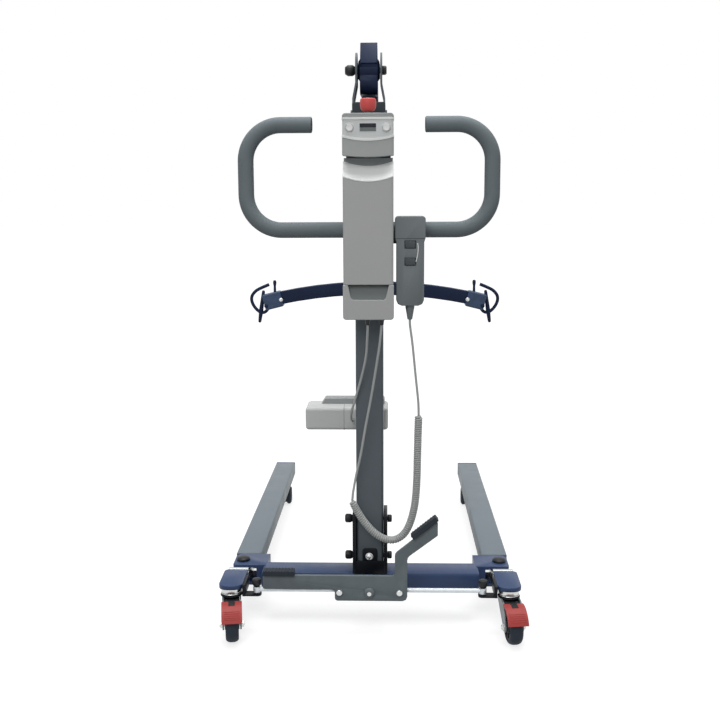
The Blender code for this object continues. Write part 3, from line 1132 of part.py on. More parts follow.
def build_handle(foot):
    """Push handle: one bent tube across the mast, with open ends that turn back inward."""
    bend = HANDLE_BEND
    side_x = HANDLE_SIDE_X
    half = []
    half.append((HANDLE_END_X, HANDLE_HIGH))
    half.append(((HANDLE_END_X + side_x - bend) / 2, HANDLE_HIGH))
    half += arc_points((side_x - bend, HANDLE_HIGH - bend), bend, math.radians(90), 0, 7)
    half += arc_points((side_x - bend, HANDLE_LOW + bend), bend, 0, math.radians(-90), 7)
    right = [Vector((x, HANDLE_Y, z)) for x, z in half]
    left = [Vector((-x, HANDLE_Y, z)) for x, z in reversed(half)]
    tube("push_handle", right + left, HANDLE_RADIUS, foot, "grey", 3)

    rear, face = BACKPLATE_REAR + BACKPLATE_THICKNESS + GAP, -MAST_DEPTH / 2 - GAP
    low, high = HANDLE_LOW - SADDLE_HEIGHT / 2, HANDLE_LOW + SADDLE_HEIGHT / 2
    saddle = block("handle_saddle", (-SADDLE_HALF, rear, low), (SADDLE_HALF, face, high), foot, "black")
    cut(saddle, rod("handle seat", (-0.05, HANDLE_Y, HANDLE_LOW), (0.05, HANDLE_Y, HANDLE_LOW),
                    HANDLE_RADIUS + 2 * BORE_FIT, foot, sides=20))


def build_stack(foot):
    """Control unit, battery and power unit on one backplate behind the mast."""
    plate_front = BACKPLATE_REAR + BACKPLATE_THICKNESS
    backplate = block("control_backplate", (-BACKPLATE_HALF, BACKPLATE_REAR, POWER_BOTTOM + 0.004),
                      (BACKPLATE_HALF, plate_front, CONTROL_TOP - 0.006), foot, "black", 0.0015, 1)
    hanger = block("pendant hanger", (BACKPLATE_HALF - 0.010, PENDANT_FRONT + GAP, PENDANT_NECK - 0.012),
                   (PENDANT_X + 0.018, plate_front - 0.0002, PENDANT_NECK + 0.022), foot)
    join(backplate, hanger)
    for low, high in STANDOFFS:
        join(backplate, block("standoff", (-SADDLE_HALF, plate_front - 0.001, low),
                              (SADDLE_HALF, -MAST_DEPTH / 2 - GAP, high), foot))
    front = BACKPLATE_REAR - GAP

    control = block("control_unit", (-CONTROL_HALF, STACK_REAR, CONTROL_BOTTOM), (CONTROL_HALF, front,
                                                                                  CONTROL_TOP),
                    foot, "case", 0.005, 2)
    window = block("display window", (DISPLAY_LOW[0], STACK_REAR - 0.01, DISPLAY_LOW[1]),
                   (DISPLAY_HIGH[0], STACK_REAR + 0.0015, DISPLAY_HIGH[1]), foot)
    cut(control, window)
    for side, sign in SIDES:
        x = sign * BUTTON_X
        pocket = STACK_REAR + BUTTON_DEPTH
        cut(control, rod("button pocket", (x, STACK_REAR - 0.01, BUTTON_Z),
                         (x, pocket + BUTTON_TRAVEL + GAP, BUTTON_Z),
                         BUTTON_RADIUS + RUNNING_FIT, foot, sides=14))
        travel = joint("control_button_travel_" + side, foot, (x, STACK_REAR, BUTTON_Z))
        rod("control_button_" + side, (x, STACK_REAR - BUTTON_PROUD, BUTTON_Z), (x, pocket, BUTTON_Z),
            BUTTON_RADIUS, travel, "pendant", sides=14)
    stem_bottom = CONTROL_TOP - 0.010
    cut(control, rod("stop stem hole", (0, STOP_Y, stem_bottom - STOP_TRAVEL - GAP),
                     (0, STOP_Y, CONTROL_TOP + 0.01),
                     0.008 + RUNNING_FIT, foot, sides=20))
    travel = joint("emergency_stop_travel", foot, (0, STOP_Y, CONTROL_TOP))
    cap_bottom = CONTROL_TOP + STOP_TRAVEL + RUNNING_FIT
    cap_top = cap_bottom + STOP_HEIGHT
    profile = [(0, cap_top), (STOP_RADIUS * 0.8, cap_top), (STOP_RADIUS, cap_top - 0.004),
               (STOP_RADIUS, cap_bottom + 0.008), (STOP_RADIUS * 0.78, cap_bottom), (0.008, cap_bottom),
               (0.008, stem_bottom), (0, stem_bottom)]
    smooth(turned("emergency_stop", profile, "Z", (0, STOP_Y, 0), travel, "red", steps=18))

    slide = joint("battery_slide", foot, (0, STACK_REAR, BATTERY_BOTTOM))
    outline = rounded_outline([(front, BATTERY_BOTTOM, 0.002), (front, BATTERY_TOP, 0.003),
                               (STACK_REAR, BATTERY_SHOULDER, 0.010), (STACK_REAR, BATTERY_BOTTOM, 0.004)])
    plate("battery_pack", outline, 2 * BATTERY_HALF, "X", (0, 0, 0), slide, "case", 0.004)

    power = block("power_unit", (-POWER_HALF, STACK_REAR, POWER_BOTTOM), (POWER_HALF, front, POWER_TOP),
                  foot,
                  "case", 0.005, 2)
    recess = [(-0.043, POWER_TOP + 0.01), (-0.043, POWER_TOP), (-0.033, POWER_RECESS), (0.033, POWER_RECESS),
              (0.043, POWER_TOP), (0.043, POWER_TOP + 0.01)]
    cut(power, plate("finger recess", recess, 0.024, "Y", (0, STACK_REAR, 0), foot))


def build_pendant(foot):
    """Hand pendant hung beside the battery, with its two buttons and strain relief."""
    x, depth = PENDANT_X, PENDANT_FRONT - PENDANT_REAR
    middle = (PENDANT_FRONT + PENDANT_REAR) / 2
    head, body = PENDANT_HEAD_HALF, PENDANT_BODY_HALF
    outline = rounded_outline([
        (x - head, PENDANT_TOP, 0.006), (x + head, PENDANT_TOP, 0.006), (x + head, PENDANT_NECK, 0.006),
        (x + body, PENDANT_NECK - 0.008, 0.004), (x + body, PENDANT_BOTTOM, 0.012),
        (x - body, PENDANT_BOTTOM, 0.012), (x - body, PENDANT_NECK - 0.008, 0.004),
        (x - head, PENDANT_NECK, 0.006)], 2)
    handset = plate("pendant_body", outline, depth, "Y", (0, middle, 0), foot, "pendant", 0.0035)
    relief_profile = [(0, PENDANT_BOTTOM + 0.008), (0.0095, PENDANT_BOTTOM + 0.008), (0.0095,
                                                                                      PENDANT_BOTTOM - 0.004),
                      (0.0050, PENDANT_RELIEF_BOTTOM), (0, PENDANT_RELIEF_BOTTOM)]
    join(handset, turned("relief", relief_profile, "Z", (x, middle, 0), foot, steps=12))
    for name, height in zip(("down", "up"), PENDANT_BUTTON_HEIGHTS):
        low = Vector((x - 0.011, PENDANT_REAR - 0.002, height - 0.0075))
        high = Vector((x + 0.011, PENDANT_REAR + 0.004, height + 0.0075))
        slack = Vector((RUNNING_FIT, 0, RUNNING_FIT))
        deep = Vector((0, BUTTON_TRAVEL + 2 * GAP, 0))
        cut(handset, block("button well", low - slack, high + slack + deep, foot))
        travel = joint("pendant_button_travel_" + name, foot, (x, PENDANT_REAR, height))
        block("pendant_button_" + name, low, high, travel, "case", 0.0015, 1)


def coil_points(route):
    """Wind the curly stretch of the cord around its route, as one helix with straight ends."""
    count = COIL_TURNS * COIL_POINTS_PER_TURN
    length = sum((b - a).length for a, b in zip(route, route[1:]))
    lead = COIL_STRAIGHT / length
    stops = [0.0, 0.5 * lead] + [lead + (1 - 2 * lead) * i / count for i in range(count + 1)]
    stops += [1 - 0.5 * lead, 1.0]
    marks = np.linspace(0, 1, len(route))
    centres = [Vector([np.interp(t, marks, [p[axis] for p in route]) for axis in range(3)]) for t in stops]
    points = []
    side = Vector((0, 1, 0))
    for i, centre in enumerate(centres):
        tangent = (centres[min(i + 1, len(centres) - 1)] - centres[max(i - 1, 0)]).normalized()
        side = (side - tangent * side.dot(tangent)).normalized()
        along = (stops[i] - lead) / (1 - 2 * lead)
        turns = COIL_TURNS * min(max(along, 0.0), 1.0)
        rise = max(0.0, min(1.0, turns / COIL_RAMP, (COIL_TURNS - turns) / COIL_RAMP))
        angle = 2 * math.pi * turns
        arm = side * math.cos(angle) + tangent.cross(side) * math.sin(angle)
        points.append(centre + arm * COIL_RADIUS * math.sin(rise * math.pi / 2))
    return points


def least_gap(points, radius):
    """Measure the smallest clear gap between neighbouring turns of the curly cord."""
    dense = []
    for a, b in zip(points, points[1:]):
        dense += [a.lerp(b, i / 3) for i in range(3)]
    places = np.array(dense)
    steps = np.linalg.norm(np.diff(places, axis=0), axis=1)
    along = np.concatenate([[0.0], np.cumsum(steps)])
    least = 1.0
    for i in range(len(places)):
        away = along - along[i] > 6 * radius
        near = away & (along - along[i] < 60 * radius)
        if near.any():
            least = min(least, np.linalg.norm(places[near] - places[i], axis=1).min())
    return least - 2 * radius


def build_cords(foot):
    """Pendant cord, with its curly stretch, and the actuator's lead."""
    upper = smooth_route(UPPER_CORD, CORD_SPACING)
    coil_route = smooth_route(COIL_ROUTE, 0.002)
    lower = smooth_route(LOWER_CORD, CORD_SPACING)
    tube("pendant_cord_upper", upper, CORD_RADIUS, foot, "cord", 2)
    tube("pendant_cord_lower", lower, CORD_RADIUS, foot, "cord", 2)
    points = coil_points(coil_route)
    print("Least gap between the curly cord's turns, mm:", round(1000 * least_gap(points, CORD_RADIUS), 2))
    tube("pendant_cord_coil", points, CORD_RADIUS, foot, "cord", 1)
    tube("actuator_lead", smooth_route(LEAD_ROUTE, CORD_SPACING), LEAD_RADIUS, foot, "cord", 2)


def build_lift():
    """Build the whole lift."""
    foot = empty("mast_foot", None, (0, MAST_Y, 0))
    build_base(foot)
    build_mast(foot)
    for side, sign in SIDES:
        build_leg(foot, side, sign)
    build_rocker(foot)
    build_head(foot)
    hinge = build_boom(foot)
    build_spreader(hinge)
    build_actuator(foot, hinge)
    build_handle(foot)
    build_stack(foot)
    build_pendant(foot)
    build_cords(foot)
    bpy.context.view_layer.update()


build_lift()
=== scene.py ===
"""Looks of a patient lift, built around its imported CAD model.

+Z is up and Y forward along the legs. Each sub-assembly is a class: its sizes
are fields, and its methods build the meshes and give them a finish. Sizes are
in millimetres, apart from the studio's and the cords', which are in metres. A
shape turns to metres when it is dressed. Places that count from the mast's
foot are moved to the world by at().
"""
from __future__ import annotations

import logging
import math
from collections.abc import Callable, Sequence
from dataclasses import dataclass
from enum import Enum

import bmesh
import bpy
from mathutils import Matrix, Vector

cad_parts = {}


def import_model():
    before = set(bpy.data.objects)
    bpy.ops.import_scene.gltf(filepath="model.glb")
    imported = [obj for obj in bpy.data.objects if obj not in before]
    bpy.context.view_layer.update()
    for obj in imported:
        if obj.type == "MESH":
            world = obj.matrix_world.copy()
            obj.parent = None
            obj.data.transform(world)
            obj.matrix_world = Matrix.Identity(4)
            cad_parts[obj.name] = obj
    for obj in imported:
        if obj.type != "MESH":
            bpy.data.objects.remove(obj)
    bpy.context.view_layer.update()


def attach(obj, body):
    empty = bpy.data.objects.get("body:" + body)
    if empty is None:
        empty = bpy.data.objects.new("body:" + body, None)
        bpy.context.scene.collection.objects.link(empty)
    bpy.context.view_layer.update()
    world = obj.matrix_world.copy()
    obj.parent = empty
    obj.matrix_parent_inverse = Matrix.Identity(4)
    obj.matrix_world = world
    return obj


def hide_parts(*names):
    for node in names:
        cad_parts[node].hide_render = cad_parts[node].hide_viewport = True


LOG = logging.getLogger("patient_lift")
Point = Sequence[float]
Pair = tuple[float, float]
Outline = Sequence[Pair]

MAST_Y = -366.75
MM = 0.001
SIDES = (("left", -1), ("right", 1))
UPRIGHT = Matrix.Identity(4)
REARWARD = Matrix.Rotation(math.pi / 2, 4, "X")
FORWARD = Matrix.Rotation(-math.pi / 2, 4, "X")


class Axis(Enum):
    """World axis of a flat or turned piece, with the turn of local Z to it and of X and Y to the others."""

    X = ((0, 0, 1), (1, 0, 0), (0, 1, 0))
    Y = ((1, 0, 0), (0, 0, -1), (0, 1, 0))

    def turn(self) -> Matrix:
        """Give the turn as a matrix."""
        return Matrix(self.value).to_4x4()


def at(x: float, y: float, z: float) -> Vector:
    """Give a world point from one that counts from the mast's foot."""
    return Vector((x, y + MAST_Y, z))


def linear(code: str) -> tuple[float, float, float, float]:
    """Turn an sRGB hex colour, six digits after a number sign, to linear RGBA."""
    values = [int(code[i:i + 2], 16) / 255 for i in (1, 3, 5)]
    red, green, blue = (v / 12.92 if v <= 0.04045 else ((v + 0.055) / 1.055) ** 2.4 for v in values)
    return red, green, blue, 1.0


def add_node(tree: bpy.types.NodeTree, kind: str, settings: dict[str | int, object] | None = None,
             links: dict[str | int, bpy.types.NodeSocket] | None = None) -> bpy.types.Node:
    """Add a node with its settings and incoming links.

    Args:
        tree: the material's node tree.
        kind: Blender's name of the node type.
        settings: lower-case words set a property, other words or a number set a socket.
        links: the output that feeds each named or numbered socket.

    Returns:
        The new node.
    """
    node = tree.nodes.new(kind)
    for name, value in (settings or {}).items():
        if isinstance(name, str) and name[0].islower():
            setattr(node, name, value)
        else:
            node.inputs[name].default_value = value
    for name, output in (links or {}).items():
        tree.links.new(output, node.inputs[name])
    return node


@dataclass(frozen=True)
class Finish:
    """A surface finish: colour, gloss, grain and the slow variation of a used surface.

    grain is the size of the bumps, depth their height and cloud the size of the
    slow changes in colour and gloss, all in millimetres.
    """

    name: str
    colour: str
    roughness: float
    slot: str
    metallic: float = 0.0
    coat: float = 0.0
    grain: float = 1.2
    depth: float = 0.05
    cloud: float = 60.0
    cloud_colour: float = 0.07
    cloud_gloss: float = 0.08
    brushed: float = 1.0
    gloss_level: float = 0.3

    def material(self) -> bpy.types.Material:
        """Build the material once, and give the same one afterwards."""
        found = bpy.data.materials.get(self.name)
        if found:
            return found
        material = bpy.data.materials.new(self.name)
        material.use_nodes = True
        tree = material.node_tree
        shader = tree.nodes["Principled BSDF"]
        for socket, value in (("Metallic", self.metallic), ("Coat Weight", self.coat),
                              ("Coat Roughness", 0.2), ("Specular IOR Level", self.gloss_level)):
            shader.inputs[socket].default_value = value
        place = add_node(tree, "ShaderNodeTexCoord").outputs["Object"]
        stretched = add_node(tree, "ShaderNodeMapping", {"Scale": (1, 1, self.brushed)}, {"Vector": place})
        cloud = add_node(tree, "ShaderNodeTexNoise", {"Scale": 1 / (self.cloud * MM), "Detail": 4.0},
                         {"Vector": place}).outputs["Fac"]
        speck = add_node(tree, "ShaderNodeTexNoise", {"Scale": 1 / (self.grain * MM), "Detail": 2.0},
                         {"Vector": stretched.outputs["Vector"]}).outputs["Fac"]
        base = linear(self.colour)
        dark = tuple(c * (1 - self.cloud_colour) for c in base[:3]) + (1.0,)
        light = tuple(min(1.0, c * (1 + self.cloud_colour)) for c in base[:3]) + (1.0,)
        both = add_node(tree, "ShaderNodeMix", {0: 0.35, "data_type": "FLOAT"}, {2: cloud, 3: speck})
        ramp = add_node(tree, "ShaderNodeMapRange", {1: 0.3, 2: 0.7}, {0: both.outputs[0]})
        mix = add_node(tree, "ShaderNodeMix", {"data_type": "RGBA", 6: dark, 7: light}, {0: ramp.outputs[0]})
        tree.links.new(mix.outputs[2], shader.inputs["Base Color"])
        gloss = add_node(tree, "ShaderNodeMapRange",
                         {1: 0.3, 2: 0.7, 3: max(0.03, self.roughness - self.cloud_gloss),
                          4: min(1.0, self.roughness + self.cloud_gloss)}, {0: cloud})
        tree.links.new(gloss.outputs[0], shader.inputs["Roughness"])
        if self.depth:
            bump = add_node(tree, "ShaderNodeBump", {"Strength": 0.25, "Distance": self.depth * MM},
                            {"Height": speck})
            tree.links.new(bump.outputs["Normal"], shader.inputs["Normal"])
        return material


@dataclass(frozen=True)
class PowderCoat(Finish):
    """Epoxy powder coat baked on steel: a soft gloss over an orange peel, drawn coarse so that it shows."""

    slot: str = "grey_powder_coat"
    grain: float = 1.6
    depth: float = 0.08


@dataclass(frozen=True)
class LightPlastic(Finish):
    """Injection-moulded ABS, pale grey: a fine spark-eroded grain, drawn coarse so that it shows."""

    slot: str = "light_grey_plastic"
    grain: float = 0.8
    depth: float = 0.04
    cloud_colour: float = 0.03


@dataclass(frozen=True)
class DarkPlastic(Finish):
    """Injection-moulded ABS, slate grey: the same grain, a little deeper and duller."""

    slot: str = "dark_grey_plastic"
    grain: float = 0.8
    depth: float = 0.05


@dataclass(frozen=True)
class Plating(Finish):
    """Zinc plate on steel: a metal with a slightly cloudy gloss."""

    slot: str = "zinc_plated_steel"
    metallic: float = 1.0
    grain: float = 1.0
    depth: float = 0.02
    cloud: float = 12
    cloud_colour: float = 0.1


# Powder coats: navy on the base and boom, greys on the legs, handle, pedal and mast.
BLUE_COAT = PowderCoat("navy_powder_coat", "#35486c", 0.42, "blue_powder_coat", coat=0.1, gloss_level=0.2)
NAVY_COAT = PowderCoat("dark_navy_powder_coat", "#1c2842", 0.48, "blue_powder_coat", coat=0.05,
                       cloud_colour=0.15, gloss_level=0.1)
# The blocks at the spreader's ends change colour by up to 30 per cent every 14 mm.
BLOCK_COAT = PowderCoat("blue_block_coat", "#3a4c69", 0.4, "blue_powder_coat", cloud=14, cloud_colour=0.3)
GREY_COAT = PowderCoat("leg_powder_coat", "#757f86", 0.5)
HANDLE_COAT = PowderCoat("slate_handle_coat", "#737c80", 0.6, gloss_level=0.08)
ROCKER_COAT = PowderCoat("grey_powder_coat_worn", "#70797d", 0.52, cloud=25, cloud_colour=0.12,
                         gloss_level=0.15)
FORK_COAT = PowderCoat("fork_powder_coat", "#646b70", 0.5, gloss_level=0.1)
MAST_COAT = PowderCoat("slate_powder_coat", "#646c72", 0.44, "dark_powder_coat", gloss_level=0.15)
SADDLE_COAT = PowderCoat("slate_casting_coat", "#3d444a", 0.5, "dark_powder_coat", gloss_level=0.1)
# Satin black enamel on the small steel fittings.
BLACK_PAINT = Finish("black_enamel", "#12151b", 0.42, "black_paint", grain=2.0, depth=0.03, cloud_colour=0.2,
                     gloss_level=0.15)
# Moulded cases: the main grey, a duller lower front, a pale lip, a brighter motor case; paler greys on the
# control unit's rim and the battery's shoulder are painted highlights.
CASE_ABS = LightPlastic("light_grey_abs", "#b1b3b2", 0.5, cloud=90)
LOWER_ABS = LightPlastic("lower_front_abs", "#a9adac", 0.5)
# Pale grey: the lip's own colour, and a painted highlight on the control unit's rim and on the pendant's
# streak.
PALE_ABS_AND_HIGHLIGHT = LightPlastic("pale_grey_abs_and_painted_highlight", "#eaecea", 0.45, depth=0.03, cloud_colour=0.02)
# A paler copy of the case grey on the battery's sloped shoulder: a painted highlight, where the light from
# above and behind falls on it.
SHOULDER_HIGHLIGHT_ABS = LightPlastic("shoulder_abs_painted_highlight", "#eceeed", 0.5, cloud_colour=0.02)
TRIM_ABS = LightPlastic("mid_grey_abs", "#9a9d9d", 0.5, cloud_colour=0.07)
MOTOR_ABS = LightPlastic("motor_case_abs", "#cfd1d0", 0.5, cloud=70)
# Keypad foil over the panel and the white key caps: flatter and glossier than the case.
PANEL_FOIL = LightPlastic("panel_foil", "#d2d5d5", 0.36, grain=0.6, depth=0.02)
KEY_ABS = LightPlastic("white_key_cap", "#eff0ef", 0.4, grain=0.6, depth=0.02, cloud_colour=0.02)
SHADE_ABS = DarkPlastic("slate_grey_abs", "#6c7273", 0.6)
# A darker copy of the case grey: painted shade in the gap over the battery and behind the power unit's
# finger recess.
RECESS_SHADE_ABS = DarkPlastic("recess_abs_painted_shade", "#959a9c", 0.6)
PENDANT_ABS = DarkPlastic("pendant_grey_abs", "#737a7d", 0.48, cloud_colour=0.05)
# Dark grey of the pendant's keys, used too as painted shade in the groove under its head.
PENDANT_DARK_AND_SHADE = DarkPlastic("dark_key_abs_and_painted_shade", "#474d51", 0.6)
# Dark glass over the display's upper half: smooth, with a sharp gloss.
DISPLAY = DarkPlastic("display_glass", "#1c2029", 0.12, grain=1.0, depth=0.0, cloud=6, cloud_colour=0.1)
# Moulded nylon and polypropylene: a dull shine.
BLACK_PLASTIC = Finish("black_nylon", "#17191d", 0.45, "black_plastic", grain=1.0, depth=0.04,
                       cloud_colour=0.15)
RED_PLASTIC = Finish("red_polypropylene", "#a93f3c", 0.45, "red_plastic", grain=1.0, depth=0.03,
                     cloud_colour=0.05)
STOP_RED = Finish("red_stop_head", "#d15452", 0.4, "red_plastic", grain=1.0, depth=0.02, cloud_colour=0.04)
# Moulded rubber and tyres: dull, with a grain of scuffs.
PAD_RUBBER = Finish("ribbed_rubber", "#2a3139", 0.75, "black_rubber", grain=1.5, depth=0.1,
                    cloud_colour=0.15)
TYRE_RUBBER = Finish("grey_thermoplastic_tyre", "#28313c", 0.7, "tyre_rubber", grain=1.5, depth=0.08,
                     cloud=15, cloud_colour=0.15)
HUB_NYLON = Finish("dark_nylon_hub", "#20252c", 0.5, "tyre_rubber", grain=1.5)
# Bright plate on bolts and races, a duller one on the caster cheeks, handled satin steel on the rods.
ZINC = Plating("bright_zinc", "#c9ccca", 0.3, cloud_gloss=0.1)
FORK_ZINC = Plating("dull_zinc", "#7d8487", 0.42, metallic=0.7, grain=1.2, depth=0.03, cloud=10,
                    cloud_colour=0.15)
ROD_STEEL = Plating("satin_rod_steel", "#d2d8dc", 0.4, metallic=0.6, cloud_colour=0.12, brushed=0.2,
                    gloss_level=0.2)
# Hard chrome on the ram: a mirror with faint lines along the stroke.
CHROME = Finish("hard_chrome", "#d8dadb", 0.1, "chromed_steel", metallic=1.0, grain=0.6, depth=0.01,
                cloud_gloss=0.03, brushed=0.1)
# Soft PVC sheath of the curly cord and of the lead: smooth, with a dull shine.
CORD_PVC = Finish("light_grey_pvc", "#b1b4b3", 0.42, "cord_sheath", grain=1.0, depth=0.03, cloud_colour=0.05)


def stand(name: str, data: bpy.types.ID) -> bpy.types.Object:
    """Put data in the scene as a new object."""
    item = bpy.data.objects.new(name, data)
    bpy.context.scene.collection.objects.link(item)
    return item


class Shape:
    """A mesh in the making, in millimetres. A method that adds to it gives it back."""

    def __init__(self, unit: float = MM) -> None:
        """Start empty, with the metres that one unit of the mesh stands for."""
        self.unit = unit
        self.mesh = bmesh.new()
        self.latest: list[bmesh.types.BMVert] = []

    @classmethod
    def of_node(cls, node: str) -> Shape:
        """Copy a CAD node's mesh, weld its loose triangles and join them to flat faces."""
        shape = cls(1.0)
        mesh = shape.mesh
        mesh.from_mesh(bpy.data.objects[node].data)
        bmesh.ops.remove_doubles(mesh, verts=mesh.verts, dist=0.02 * MM)
        bmesh.ops.dissolve_limit(mesh, angle_limit=math.radians(1.0), verts=mesh.verts, edges=mesh.edges)
        return shape

    def move(self, matrix: Matrix, whole: bool = False) -> Shape:
        """Move what was added last, or the whole shape."""
        bmesh.ops.transform(self.mesh, matrix=matrix, verts=self.mesh.verts if whole else self.latest)
        return self

    def box(self, low: Point, high: Point) -> Shape:
        """Add a box between two corners."""
        low, high = Vector(map(min, low, high)), Vector(map(max, low, high))
        self.latest = bmesh.ops.create_cube(self.mesh, size=1.0)["verts"]
        bmesh.ops.scale(self.mesh, vec=high - low, verts=self.latest)
        bmesh.ops.translate(self.mesh, vec=(low + high) / 2, verts=self.latest)
        return self

    def rod(self, start: Point, end: Point, radius: float, sides: int = 32) -> Shape:
        """Add a bar between two points, round or with a few flats."""
        start, end = Vector(start), Vector(end)
        axis = end - start
        self.latest = bmesh.ops.create_cone(self.mesh, cap_ends=True, segments=sides, radius1=radius,
                                            radius2=radius, depth=axis.length)["verts"]
        turn = axis.to_track_quat("Z", "Y").to_matrix().to_4x4()
        return self.move(Matrix.Translation((start + end) / 2) @ turn)

    def turned(self, profile: Outline, centre: Point = (0, 0, 0), turn: Matrix = UPRIGHT,
               sides: int = 48) -> Shape:
        """Spin a (radius, height) profile round its axis into a closed skin.

        Args:
            profile: points from one end to the other; a radius of 0 closes an end.
            centre: where the profile's zero height stands on the axis.
            turn: takes the axis from Z to its direction.
            sides: steps around the axis.

        Returns:
            The shape itself.
        """
        mesh = self.mesh
        verts = [mesh.verts.new((radius, 0, height)) for radius, height in profile]
        edges = [mesh.edges.new(pair) for pair in zip(verts, verts[1:])]
        before = set(mesh.verts)
        bmesh.ops.spin(mesh, geom=verts + edges, cent=(0, 0, 0), axis=(0, 0, 1), angle=math.tau, steps=sides,
                       use_merge=True)
        fresh = list((set(mesh.verts) - before) | set(verts))
        bmesh.ops.remove_doubles(mesh, verts=fresh, dist=0.005)
        self.latest = [v for v in fresh if v.is_valid]
        bmesh.ops.recalc_face_normals(mesh, faces=list({f for v in self.latest for f in v.link_faces}))
        return self.move(Matrix.Translation(centre) @ turn)

    def plate(self, outline: Outline, low: float, high: float, axis: Axis) -> Shape:
        """Extrude a flat outline on the two other axes from low to high along an axis."""
        mesh = self.mesh
        ring = [mesh.verts.new((u, v, 0)) for u, v in outline]
        out = bmesh.ops.extrude_face_region(mesh, geom=[mesh.faces.new(ring)])["geom"]
        top = [v for v in out if isinstance(v, bmesh.types.BMVert)]
        sign = -1 if axis is Axis.Y else 1
        bmesh.ops.translate(mesh, vec=(0, 0, sign * high), verts=top)
        bmesh.ops.translate(mesh, vec=(0, 0, sign * low), verts=ring)
        self.latest = ring + top
        bmesh.ops.recalc_face_normals(mesh, faces=list({f for v in self.latest for f in v.link_faces}))
        return self.move(axis.turn())

    def loft(self, sections: Sequence[Sequence[Point]]) -> Shape:
        """Join rings of points, each with as many points as the others, into one closed body."""
        mesh = self.mesh
        rings = [[mesh.verts.new(point) for point in section] for section in sections]
        faces = [mesh.faces.new(rings[0]), mesh.faces.new(list(reversed(rings[-1])))]
        for first, second in zip(rings, rings[1:]):
            for i in range(len(first)):
                k = (i + 1) % len(first)
                faces.append(mesh.faces.new((first[k], first[i], second[i], second[k])))
        bmesh.ops.recalc_face_normals(mesh, faces=faces)
        return self

    def tube(self, points: Sequence[Point], radius: float, sides: int = 12) -> Shape:
        """Sweep a round section along points with a curve, and take it over as a mesh."""
        curve = bpy.data.curves.new("guide", "CURVE")
        curve.dimensions = "3D"
        curve.bevel_depth = radius
        curve.bevel_resolution = max(0, sides // 2 - 2)
        curve.use_fill_caps = True
        curve.twist_mode = "MINIMUM"
        spline = curve.splines.new("POLY")
        spline.points.add(len(points) - 1)
        for knot, point in zip(spline.points, points):
            knot.co = (*point, 1.0)
        guide = stand("guide", curve)
        mesh = bpy.data.meshes.new_from_object(guide.evaluated_get(bpy.context.evaluated_depsgraph_get()))
        bpy.data.objects.remove(guide, do_unlink=True)
        bpy.data.curves.remove(curve)
        self.mesh.from_mesh(mesh)
        bpy.data.meshes.remove(mesh)
        bmesh.ops.remove_doubles(self.mesh, verts=self.mesh.verts, dist=0.01 * MM / self.unit)
        bmesh.ops.recalc_face_normals(self.mesh, faces=self.mesh.faces)
        return self

    def dress(self, name: str, finish: Finish, body: str = "base", replaces: Sequence[str] = (),
              rounding: float = 0.0, segments: int = 3, smooth: float = 40.0) -> bpy.types.Object:
        """Turn the shape into a finished piece that rides on a body.

        Args:
            name: the piece's name.
            finish: the finish that it gets.
            body: the CAD body that it rides on.
            replaces: the CAD nodes that it stands for.
            rounding: width of the rounded edges, or 0 for none.
            segments: steps across each rounded edge.
            smooth: edges sharper than this many degrees stay sharp, or are rounded.

        Returns:
            The new object.
        """
        mesh = bpy.data.meshes.new(name)
        bmesh.ops.scale(self.mesh, vec=(self.unit,) * 3, verts=self.mesh.verts)
        self.mesh.to_mesh(mesh)
        self.mesh.free()
        piece = stand(name, mesh)
        mesh.materials.append(finish.material())
        mesh.shade_smooth()
        if rounding:
            bevel = piece.modifiers.new("rounded edges", "BEVEL")
            bevel.width = rounding * MM
            bevel.segments = segments
            bevel.limit_method = "ANGLE"
            bevel.angle_limit = math.radians(smooth)
            bevel.harden_normals = True
            bevel.miter_outer = "MITER_ARC"
        else:
            mesh.set_sharp_from_angle(angle=math.radians(smooth))
        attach(piece, body)
        if replaces:
            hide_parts(*replaces)
        LOG.info("%s: %s on %s", name, finish.name, body)
        return piece


def arc(centre: Pair, radius: float, start: float, end: float, steps: int) -> list[Pair]:
    """Give the points of an arc between two angles in degrees."""
    angles = [math.radians(start + (end - start) * i / steps) for i in range(steps + 1)]
    return [(centre[0] + radius * math.cos(a), centre[1] + radius * math.sin(a)) for a in angles]


def rounded(corners: Sequence[tuple[float, float, float]], steps: int = 8) -> list[Pair]:
    """Give an outline whose (u, v, radius) corners are rounded by arcs."""
    points: list[Pair] = []
    for i, (u, v, radius) in enumerate(corners):
        corner = Vector((u, v))
        if not radius:
            points.append((u, v))
            continue
        back = (Vector(corners[i - 1][:2]) - corner).normalized()
        ahead = (Vector(corners[(i + 1) % len(corners)][:2]) - corner).normalized()
        half = back.angle(ahead) / 2
        middle = corner + (back + ahead).normalized() * radius / math.sin(half)
        first = corner + back * radius / math.tan(half) - middle
        last = corner + ahead * radius / math.tan(half) - middle
        sweep = first.angle_signed(last)
        for step in range(steps + 1):
            points.append(tuple(middle + Matrix.Rotation(-sweep * step / steps, 2) @ first))
    return points


